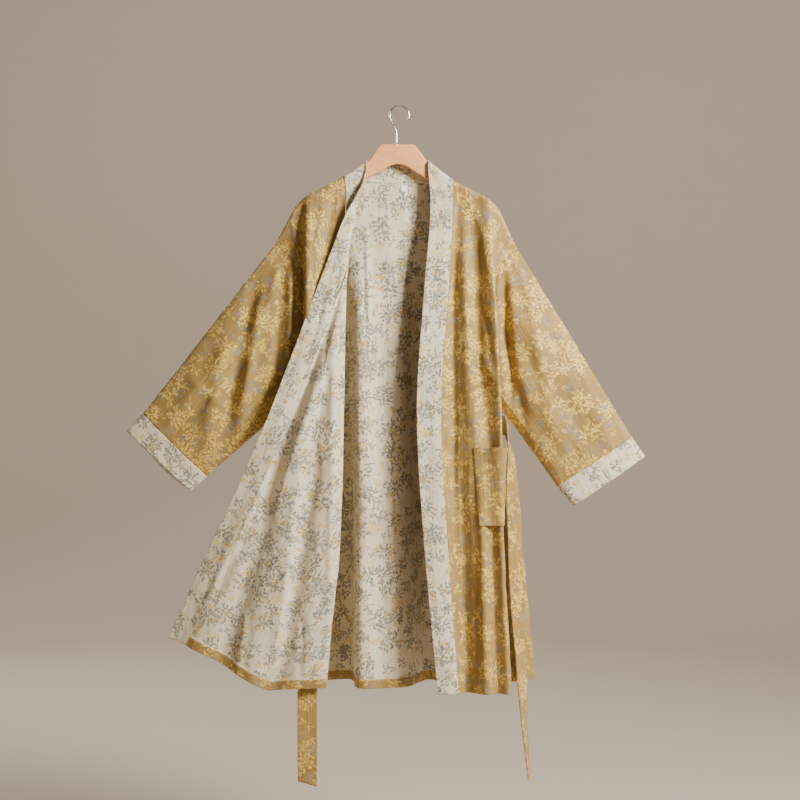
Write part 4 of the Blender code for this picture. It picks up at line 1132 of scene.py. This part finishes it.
def sleeve(side, front_edge, back_edge, arm, table):
    """A sleeve's tube and its cuff, with the cuff's outer grid and normals.

    Ring s is armhole + (cuff seam - armhole) s, swollen in depth by sin(pi s) half way down.
    The first rings are the seam allowance, tucked under the edge of the panels.
    """
    outward = math.copysign(1, arm["seam"][0][0])
    flip = outward > 0
    ring, share, face = armhole_ring(front_edge, back_edge, outward)
    seam = flat_oval(arm["seam"], SEAM_DEPTH, share, face)
    shortest = np.linalg.norm(seam - ring, axis=1).min()
    tuck = np.array(SEAM_ROWS) / shortest
    below = np.linspace(ARMHOLE_GAP / shortest, 1, SLEEVE_ROWS - len(tuck))
    s = np.concatenate([tuck, below])[:, None]
    grid = ring + (seam - ring) * s[..., None]
    s = np.maximum(s, 0)
    bulge = np.sqrt(4 * share * (1 - share) + 1e-9)
    folds = long_folds(share, s, SLEEVE_FOLDS)
    grid[..., 1] += face * (SLEEVE_DEPTH * 0.54 * np.sin(np.pi * s) * bulge
                            + folds * arm["fullness"] * np.sin(np.pi * np.minimum(s, 0.97)) ** 0.7)
    top_line = grid[:, len(share) // 2]
    axis = unit(top_line[-1] - top_line[0]) * (1, 0, 1)
    under = np.array((-axis[2], 0, axis[0])) * -outward
    uv = np.stack([(grid - top_line[0]) @ under * -np.sign(face + 0.5) * MM + outward * 1.31,
                   -(grid - top_line[0]) @ axis * MM + 0.2], -1)
    normal = facing(grid, around=True, flip=flip)
    ends = np.clip(np.minimum(s, 1 - s) * 14, 0, 1)
    round_it = np.clip(np.minimum(share, 1 - share) * 9, 0, 1)
    behind = long_folds(share, s, SLEEVE_BACK_CREASES) * (face > 0)
    relief = (rumple(uv[..., 0] / MM, uv[..., 1] / MM, 51 + int(outward), 3.4, 0.32)
              + creases(grid[..., 0], grid[..., 2], table) * (face < 0) * round_it
              + behind * round_it) * ends
    sunk = np.zeros((SLEEVE_ROWS, 1))
    sunk[:len(SEAM_DIP), 0] = SEAM_DIP
    inner = grid + normal * (relief - sunk)[..., None]
    outer = inner + normal * CLOTH
    mouth = flat_oval(arm["mouth"], MOUTH_DEPTH, share, face)
    mouth += axis * (arm["back_lip"] * (face > 0) * np.sin(np.pi * share ** 1.6))[:, None]
    begin = 2 * HALF_GAP / np.linalg.norm(mouth - seam, axis=1).min()
    t = np.linspace(begin, 1, CUFF_ROWS)[:, None, None]
    cuff = seam + (mouth - seam) * t
    cuff_uv = cloth_uv(cuff, (outward * 0.77, 0.5), middle=0.5)
    cuff_normal = facing(cuff, around=True, flip=flip)
    soft = rumple(cuff_uv[..., 0] / MM, cuff_uv[..., 1] / MM, 71 + int(outward), 1.5, 0.35)
    soft *= np.clip(t[..., 0] * 6, 0, 1) * (0.4 + 0.6 * round_it)
    cuff_inner = cuff + cuff_normal * soft[..., None]
    cuff_inner, cuff_outer = soften(cuff_inner, cuff_inner + cuff_normal * CUFF_THICK, CUFF_EDGE,
                                    ("foot",))
    tube_piece = cloth_wall(f"sleeve_{side}_tube", inner, outer, uv, (gold, pale), True, flip)
    cuff_piece = cloth_wall(f"contrast_cuff_{side}", cuff_inner, cuff_outer, cuff_uv, (pale, pale),
                            True, flip)
    return tube_piece, cuff_piece, cuff_outer, cuff_normal


def armhole_edge(grid, column):
    """The points of a panel's edge from the shoulder to the armpit."""
    return grid[:len(UPPER_SHARES), column]


left_parts = sleeve("left", armhole_edge(turned_flat, -1), armhole_edge(back_flat, 0), LEFT_ARM,
                    LEFT_CREASES)
right_parts = sleeve("right", armhole_edge(front_flat, -1), armhole_edge(back_flat, -1), RIGHT_ARM,
                     RIGHT_CREASES)
for side, parts in (("left", left_parts), ("right", right_parts)):
    finish_piece(parts[0], f"sleeve_{side}", "gold_cloth", flat=(0.56, 0.34), held="hung",
                 rests_on=["hanger_board"], area=0.15)
    finish_piece(parts[1], f"cuff_{side}", "pale_cloth", flat=(0.36, 0.048), held="hung",
                 rests_on=["hanger_board"], area=0.0165)


# Patch pocket on the hanging front, below the waist: gold face out, its top edge hemmed and
# gaping a little, made from the front's own points moved out.
POCKET_TOP_Z, POCKET_FOOT_Z, POCKET_LEFT_X, POCKET_WIDTH, POCKET_GAPE = -680, -834, 146, 148, 9
# Rounding of its edges, its distance in from the front's edge, the column that gives its heights
POCKET_EDGE, POCKET_EDGE_IN, MIDDLE_COLUMN = 1.2, 1, 60


def bridge(base):
    """How far each point lies below a line stretched over its row, up to the outer crest."""
    gaps = np.zeros(base.shape[:2])
    for i, row in enumerate(base):
        crest = len(row) // 4 + np.argmin(row[len(row) // 4:, 1])
        x, high, kept = row[:crest + 1, 0], -row[:crest + 1, 1], []
        for j in range(len(x)):
            while len(kept) > 1 and ((high[kept[-1]] - high[kept[-2]]) * (x[j] - x[kept[-2]])
                                     <= (high[j] - high[kept[-2]]) * (x[kept[-1]] - x[kept[-2]])):
                kept.pop()
            kept.append(j)
        gaps[i, :crest + 1] = np.interp(x, x[kept], high[kept]) - high
    return gaps


pocket_z = np.concatenate([[POCKET_TOP_Z, POCKET_TOP_Z - 0.6, POCKET_TOP_Z - 1.5],
                           np.linspace(POCKET_TOP_Z - 3, POCKET_FOOT_Z + 1.5, 64),
                           [POCKET_FOOT_Z + 0.6, POCKET_FOOT_Z]])
row_at = np.interp(-pocket_z, -front_z[:, MIDDLE_COLUMN], np.arange(len(front_z)))[:, None]
top_line = on_grid(front_flat, row_at[0], np.arange(front_flat.shape[1], dtype=float))
top_run = run_of(top_line)
first_column = np.interp(POCKET_LEFT_X, top_line[:MIDDLE_COLUMN, 0], np.arange(MIDDLE_COLUMN))
first_run = np.interp(first_column, np.arange(len(top_run)), top_run)
across = np.concatenate([[0, 0.004, 0.012], np.linspace(0.022, 0.978, 78), [0.988, 0.996, 1]])
pocket_run = min(POCKET_WIDTH, top_run[-1] - POCKET_EDGE_IN - first_run)
column_at = np.interp(first_run + across * pocket_run, top_run, np.arange(len(top_run)))[None, :]
pocket_base = on_grid(front_outer, row_at, column_at)
pocket_base[..., 1] -= bridge(pocket_base) * 0.75
pocket_out = facing(pocket_base)
down = ((POCKET_TOP_Z - pocket_z) / (POCKET_TOP_Z - POCKET_FOOT_Z))[:, None]
gape = POCKET_GAPE * (1 - down) ** 3 * np.exp(-((across - 0.45) / 0.22) ** 2)
pocket_flat = pocket_base + pocket_out * (2 * HALF_GAP + gape)[..., None]
pocket_uv = cloth_uv(pocket_flat, (0.2, -0.71), middle=0)
pocket_inside = np.clip(np.minimum(across, 1 - across) * 10, 0, 1) * np.clip((1 - down) * 8, 0, 1)
pocket_relief = rumple(pocket_uv[..., 0] / MM, pocket_uv[..., 1] / MM, 91, 2.0, 0.5)
pocket_relief = np.maximum(pocket_relief + 0.7, 0) * pocket_inside
pocket_inner = pocket_flat + pocket_out * pocket_relief[..., None]
pocket_inner, pocket_outer = soften(pocket_inner, pocket_inner + pocket_out * CLOTH, POCKET_EDGE,
                                    ("left", "right", "top", "foot"))
pocket = cloth_wall("patch_pocket", pocket_inner, pocket_outer, pocket_uv, (gold, pale))
finish_piece(pocket, "pocket", "gold_cloth", flat=(0.148, 0.154), held="hung",
             rests_on=["front_hanging"], area=0.0215)


# Belt loops: narrow strips of the gold cloth, folded and sewn at both ends to the side seams.
LOOP_WIDTH, LOOP_THICK, LOOP_EDGE = 8, 1.2, 0.8
LOOP_HEIGHTS = (-609, -611, -615, -638, -662, -666, -668)
# y, then x at the top, in the middle and at the foot
LOOPS = {"left": (13, -204.2, -216.6, -204.7), "right": (14, 199.9, 216, 207.7)}


def smooth_path(points, count):
    """Cubic curve through points, evenly cut by the length between them in x, y and z."""
    points = np.asarray(points, float)
    reach = run_of(points[:, :3])
    return cubic_through(np.linspace(0, reach[-1], count), reach, points)


for side, (y, top_x, outer_x, foot_x) in LOOPS.items():
    line_x = (top_x, (top_x + outer_x) / 2, outer_x, outer_x, outer_x,
              (foot_x + outer_x) / 2, foot_x)
    path = smooth_path([(x, y, z) for x, z in zip(line_x, LOOP_HEIGHTS)], 60)
    width = np.linspace(-0.5, 0.5, 9) * LOOP_WIDTH
    middle = path[:, None] + np.stack([0 * width, width, 0 * width], 1)
    normal = facing(middle)
    inner, outer = soften(middle - normal * LOOP_THICK / 2, middle + normal * LOOP_THICK / 2,
                          LOOP_EDGE, ("left", "right"))
    loop = cloth_wall(f"{side}_belt_loop", inner, outer, cloth_uv(middle, (0.05, 0.3)),
                      (gold, gold))
    finish_piece(loop, f"belt_loop_{side}", "gold_cloth", flat=(0.01, 0.075), held="stretched",
                 rests_on=[f"sleeve_{side}"], area=0.00062)


# Belt: one straight strip of gold cloth, sewn double, turned and topstitched, with slanted ends.
# It runs from its left tip up through the left loop, across the back, and down to the right tip.
BELT_WIDTH, BELT_THICK, BELT_EDGE, BELT_ROWS = 39, 3.0, 1.8, 600
# x, y, z of its middle, then the plan angle and the tilt of its width in degrees
BELT_ROUTE = (
    (-182, -35, -1345, 0, -16), (-182, -36, -1250, 0, 0), (-182, -37, -1150, 0, 0),
    (-184, -40, -1010, 0, 0), (-194, -42, -930, 0, 0), (-212, -40, -850, 0, 0),
    (-224, -33, -795, 12, 0), (-225, -26, -745, 45, 0), (-219, -22, -700, 75, 0),
    (-214, -20, -664, 90, 0), (-213, -15, -647, 90, -45), (-213, 0, -640, 90, -90),
    (-213, 16, -639, 90, -90), (-206, 40, -640, 90, -90), (-180, 60, -643, 90, -90),
    (-138, 70, -647, 90, -90), (-60, 72, -655, 90, -90), (30, 74, -659, 90, -90),
    (100, 78, -655, 90, -90), (150, 79, -648, 90, -90), (188, 64, -642, 90, -90),
    (207, 38, -638, 90, -90), (212, 18, -637, 90, -90), (212, 0, -638, 90, -90),
    (213, -17, -645, 90, -45), (214, -23, -662, 90, 0), (220, -18, -690, 72, 0),
    (224, -3, -745, 52, 0), (230, 16, -815, 43, 0), (234, 32, -905, 40, 0),
    (240, 46, -1010, 41, 0), (247, 56, -1088, 48, 0), (251, 64, -1170, 57, 0),
    (257, 70, -1265, 72, 0), (266, 76, -1362, 82, 0))

belt_rows = smooth_path(BELT_ROUTE, BELT_ROWS)
turn, tilt = np.radians(belt_rows[:, 3]), np.radians(belt_rows[:, 4])
belt_side = np.stack([np.cos(turn) * np.cos(tilt), np.sin(turn) * np.cos(tilt), np.sin(tilt)], 1)
belt_across = BELT_WIDTH * np.concatenate([[-0.5, -0.488, -0.47], np.linspace(-0.44, 0.44, 13),
                                           [0.47, 0.488, 0.5]])
belt_middle = belt_rows[:, None, :3] + belt_side[:, None] * belt_across[None, :, None]
belt_normal = facing(belt_middle)
belt_uv = cloth_uv(belt_middle, (0.9, 0.1))
belt_relief = rumple(belt_uv[..., 0] / MM * 1.5, belt_uv[..., 1] / MM, 17, 2.4, 0.28)
steps = np.arange(BELT_ROWS)
belt_relief *= np.clip(np.minimum(steps, steps[::-1]) / 30, 0, 1)[:, None]
belt_middle = belt_middle + belt_normal * belt_relief[..., None]
belt_inner, belt_outer = soften(belt_middle - belt_normal * BELT_THICK / 2,
                                belt_middle + belt_normal * BELT_THICK / 2, BELT_EDGE,
                                ("left", "right", "top", "foot"))
belt = cloth_wall("tie_belt", belt_inner, belt_outer, belt_uv, (gold, gold))
finish_piece(belt, "belt", "gold_cloth", flat=(0.039, 2.0), held="hung",
             rests_on=["belt_loop_left", "belt_loop_right"], area=0.078)


# Size label: a small woven tape, folded and sewn flat below the neck seam, and left bare.
LABEL_LEFT_X, LABEL_RIGHT_X, LABEL_TOP_Z, LABEL_FOOT_Z = 3, 15, -155, -168
LABEL_THICK, LABEL_EDGE = 0.6, 0.5
# Height of the row on which the label's columns are found
LABEL_READ_Z = -160
LABEL_SHADE, LABEL_WHITE = (0.90, 0.885, 0.85, 1), (0.97, 0.96, 0.93, 1)

label_rows = np.linspace(LABEL_TOP_Z, LABEL_FOOT_Z, 22)
label_columns = np.linspace(LABEL_LEFT_X, LABEL_RIGHT_X, 24)
near_row = back_flat[np.argmin(abs(back_z[:, back_flat.shape[1] // 2] - LABEL_READ_Z)), :, 0]
label_j = np.interp(label_columns, near_row, np.arange(len(near_row)))[None, :]
label_i = np.interp(-label_rows, -back_z[:, int(label_j.mean())], np.arange(len(back_z)))[:, None]
label_back = (on_grid(back_inner, label_i, label_j)
              - on_grid(back_out, label_i, label_j) * 2 * HALF_GAP)
label_normal = facing(label_back)
label_inner, label_outer = soften(label_back, label_back + label_normal * LABEL_THICK, LABEL_EDGE,
                                  ("left", "right", "top", "foot"))
tape, shader = new_material("woven label tape")
ribs = place_in(tape, "cloth").vector("MULTIPLY", (300, 2600, 0)).noise(1.0, dimensions="2D")
feed(shader, Base_Color=ribs.band(0.3, 0.7).mix(LABEL_SHADE, LABEL_WHITE), Roughness=0.7,
     Normal=bump(ribs, 0.5, 0.0003))
label = cloth_wall("bare_size_label", label_inner, label_outer, cloth_uv(label_back), (tape, tape))
finish_piece(label, "size_label", "label", flat=(0.012, 0.013), held="stretched", rests_on=["back"],
             area=0.000156)


# Topstitching: one row of short stitches along each hem, band, cuff, pocket edge and belt edge,
# gold thread on the gold face and off-white thread on the off-white one.
GOLD_THREAD_LIGHT, GOLD_THREAD_DARK = (0.66, 0.45, 0.17, 1), (0.40, 0.25, 0.08, 1)
PALE_THREAD_LIGHT, PALE_THREAD_DARK = (0.78, 0.72, 0.60, 1), (0.55, 0.49, 0.38, 1)
# Distances of the rows from an edge
STITCH_IN, HEM_STITCH, POCKET_HEM, BELT_STITCH, CUFF_STITCH = 1.9, HEM_TURN - 2.2, 22, 2.6, 4.0


def inset_line(grid, distance, edge):
    """Rows and columns of a line that keeps a set distance in from one edge of a grid."""
    upright, last = edge in ("left", "right"), edge in ("right", "foot")
    work = grid if upright else grid.transpose(1, 0, 2)
    work = work[:, ::-1] if last else work
    at = np.array([np.interp(distance, run, np.arange(len(run))) for run in lengths_of(work)])
    at = work.shape[1] - 1 - at if last else at
    index = np.arange(len(at), dtype=float)
    return (index, at) if upright else (at, index)


def stitch_line(face, out, distance, edge, clip=0.0):
    """Points and normals of a stitching line on one face of a piece, short of its ends by clip."""
    rows, columns = inset_line(face, distance, edge)
    points, normals = on_grid(face, rows, columns), unit(on_grid(out, rows, columns))
    run = run_of(points)
    kept = (run >= clip) & (run <= run[-1] - clip)
    return points[kept], normals[kept]


def stitches(name, lines, thread, slot, length=2.6, gap=0.9, radius=0.24, around=4):
    """Short threads along lines, each a tapered tube whose ends dip into the cloth.

    The height over the cloth is radius (0.9 - 2.6 |2 t|^3) with t from -0.5 to 0.5 along it.
    """
    t = np.array((-0.5, -0.33, 0, 0.33, 0.5))
    angle = np.linspace(0, 2 * math.pi, around, endpoint=False)
    every = []
    for points, normals in lines:
        run = run_of(points)
        centres = np.arange(length / 2, run[-1] - length / 2, length + gap)
        at = centres[:, None] + t * length
        place = np.stack([np.interp(at, run, points[:, k]) for k in range(3)], -1)
        up = unit(np.stack([np.interp(at, run, normals[:, k]) for k in range(3)], -1))
        way = unit(place[:, -1:] - place[:, :1])
        side = unit(np.cross(up, way))
        height = radius * (0.9 - 2.6 * abs(2 * t) ** 3)
        middle = place + up * height[None, :, None]
        size = radius * np.array((0.45, 0.9, 1, 0.9, 0.45))[None, :, None, None]
        every.append(middle[:, :, None] + size * (side[:, :, None] * np.cos(angle)[:, None]
                                                  + up[:, :, None] * np.sin(angle)[:, None]))
    tubes = np.concatenate(every)
    quads = grid_faces(grid_index(len(t), around, closed=True))
    faces = (quads[None] + (np.arange(len(tubes)) * len(t) * around)[:, None, None]).reshape(-1, 4)
    piece = mesh_piece(name, tubes.reshape(-1, 3) * MM, faces, materials=(thread,))
    finish_piece(piece, None, slot)


def thread_material(name, light, dark):
    """Twisted sewing thread, lighter and darker in small patches by a noise."""
    material, shader = new_material(name)
    twist = place_in(material).noise(900.0)
    feed(shader, Base_Color=twist.band(0.35, 0.65).mix(dark, light), Roughness=0.55,
         Normal=bump(twist, 0.4, 0.0002))
    return material


gold_thread = thread_material("gold sewing thread", GOLD_THREAD_LIGHT, GOLD_THREAD_DARK)
pale_thread = thread_material("off-white sewing thread", PALE_THREAD_LIGHT, PALE_THREAD_DARK)
stitches("gold_topstitching", [
    stitch_line(back_inner, -back_out, HEM_STITCH, "foot"),
    stitch_line(back_outer, back_out, HEM_STITCH, "foot"),
    stitch_line(turned_inner, -turned_out, HEM_STITCH, "foot"),
    stitch_line(front_outer, front_out, HEM_STITCH, "foot"),
    stitch_line(front_outer, front_out, STITCH_IN, "left", 20),
    stitch_line(pocket_outer, pocket_out, STITCH_IN, "left", 1),
    stitch_line(pocket_outer, pocket_out, STITCH_IN, "right", 1),
    stitch_line(pocket_outer, pocket_out, STITCH_IN, "foot", 2),
    stitch_line(pocket_outer, pocket_out, POCKET_HEM, "top"),
    stitch_line(belt_outer, belt_normal, BELT_STITCH, "left", 3),
    stitch_line(belt_outer, belt_normal, BELT_STITCH, "right", 3),
    stitch_line(belt_inner, -belt_normal, BELT_STITCH, "left", 3),
    stitch_line(belt_inner, -belt_normal, BELT_STITCH, "right", 3),
], gold_thread, "gold_cloth")
hanging_band_out, turned_band_out = facing(hanging_band_outer), facing(turned_band_outer, flip=True)
stitches("pale_topstitching", [
    stitch_line(hanging_band_outer, hanging_band_out, STITCH_IN, "right", 20),
    stitch_line(hanging_band_inner, -hanging_band_out, STITCH_IN, "right", 20),
    stitch_line(turned_band_inner, -turned_band_out, STITCH_IN, "right", 20),
    stitch_line(turned_band_outer, turned_band_out, STITCH_IN, "right", 20),
    stitch_line(*left_parts[2:], STITCH_IN, "top"),
    stitch_line(*right_parts[2:], STITCH_IN, "top"),
    stitch_line(*left_parts[2:], CUFF_STITCH, "foot"),
    stitch_line(*right_parts[2:], CUFF_STITCH, "foot"),
], pale_thread, "pale_cloth")
label_edges = [stitch_line(label_outer, label_normal, 0.8, edge, 0.4)
               for edge in ("left", "right", "top")]
stitches("label_stitching", label_edges, pale_thread, "label", 1.1, 0.5, 0.10)


# Plain pale floor that curves up far behind, so that light stays even
def studio_floor():
    """Surface of revolution: a flat floor, a wide quarter-round cove and an upright rim."""
    floor_z, flat, cove, tall = -1.62, 3.6, 1.5, 5.2
    profile = [(0.0004, floor_z), (0.8, floor_z), (2.2, floor_z), (flat, floor_z)]
    profile += [(flat + cove * math.sin(a), floor_z + cove - cove * math.cos(a))
                for a in np.linspace(0, math.pi / 2, 16)[1:]]
    profile += [(flat + cove, floor_z + cove + tall)]
    profile = np.array(profile)
    a = np.linspace(0, 2 * math.pi, 128, endpoint=False)
    grid = np.stack([profile[:, :1] * np.cos(a), profile[:, :1] * np.sin(a),
                     np.repeat(profile[:, 1:], len(a), 1)], -1)
    return mesh_piece("studio_floor", grid.reshape(-1, 3),
                      grid_faces(grid_index(len(profile), len(a), True))[:, ::-1])


floor = studio_floor()
floor_face, shader = new_material("pale floor")
feed(shader, Base_Color=(0.56, 0.48, 0.40, 1), Roughness=0.9)
floor.data.materials.append(floor_face)

world = bpy.data.worlds.new("studio")
world.use_nodes = True
sky = world.node_tree.nodes["Background"]
sky.inputs[0].default_value, sky.inputs[1].default_value = (1.0, 0.96, 0.92, 1), 0.02
bpy.context.scene.world = world


def area_light(name, place, aim, size, power, colour):
    """Square soft light that faces a point."""
    lamp = bpy.data.lights.new(name, "AREA")
    lamp.size, lamp.energy, lamp.color = size, power, colour
    light = bpy.data.objects.new(name, lamp)
    light.location = place
    light.rotation_euler = (Vector(aim) - Vector(place)).to_track_quat("-Z", "Y").to_euler()
    light.visible_camera = False
    bpy.context.scene.collection.objects.link(light)


area_light("key", (1.75, -1.35, 0.6), (0, 0, -0.55), 0.75, 175, (1.0, 0.94, 0.86))
area_light("background", (0.4, 1.6, 2.6), (0.2, 5.0, -0.4), 1.6, 60, (1.0, 0.95, 0.89))
area_light("behind", (-2.2, 2.6, 1.0), (0, 0, -0.6), 1.2, 65, (1.0, 0.96, 0.91))
area_light("fill", (-2.4, -3.4, 0.2), (0, 0, -0.6), 2.4, 1.5, (0.95, 0.97, 1.0))

lens = bpy.data.cameras.new("camera")
lens.lens, lens.sensor_width = 67.5, 36
camera = bpy.data.objects.new("camera", lens)
camera.location = (0.001, -3.0, -0.586)
camera.rotation_euler = (math.radians(90), 0, 0)
bpy.context.scene.collection.objects.link(camera)
bpy.context.scene.camera = camera
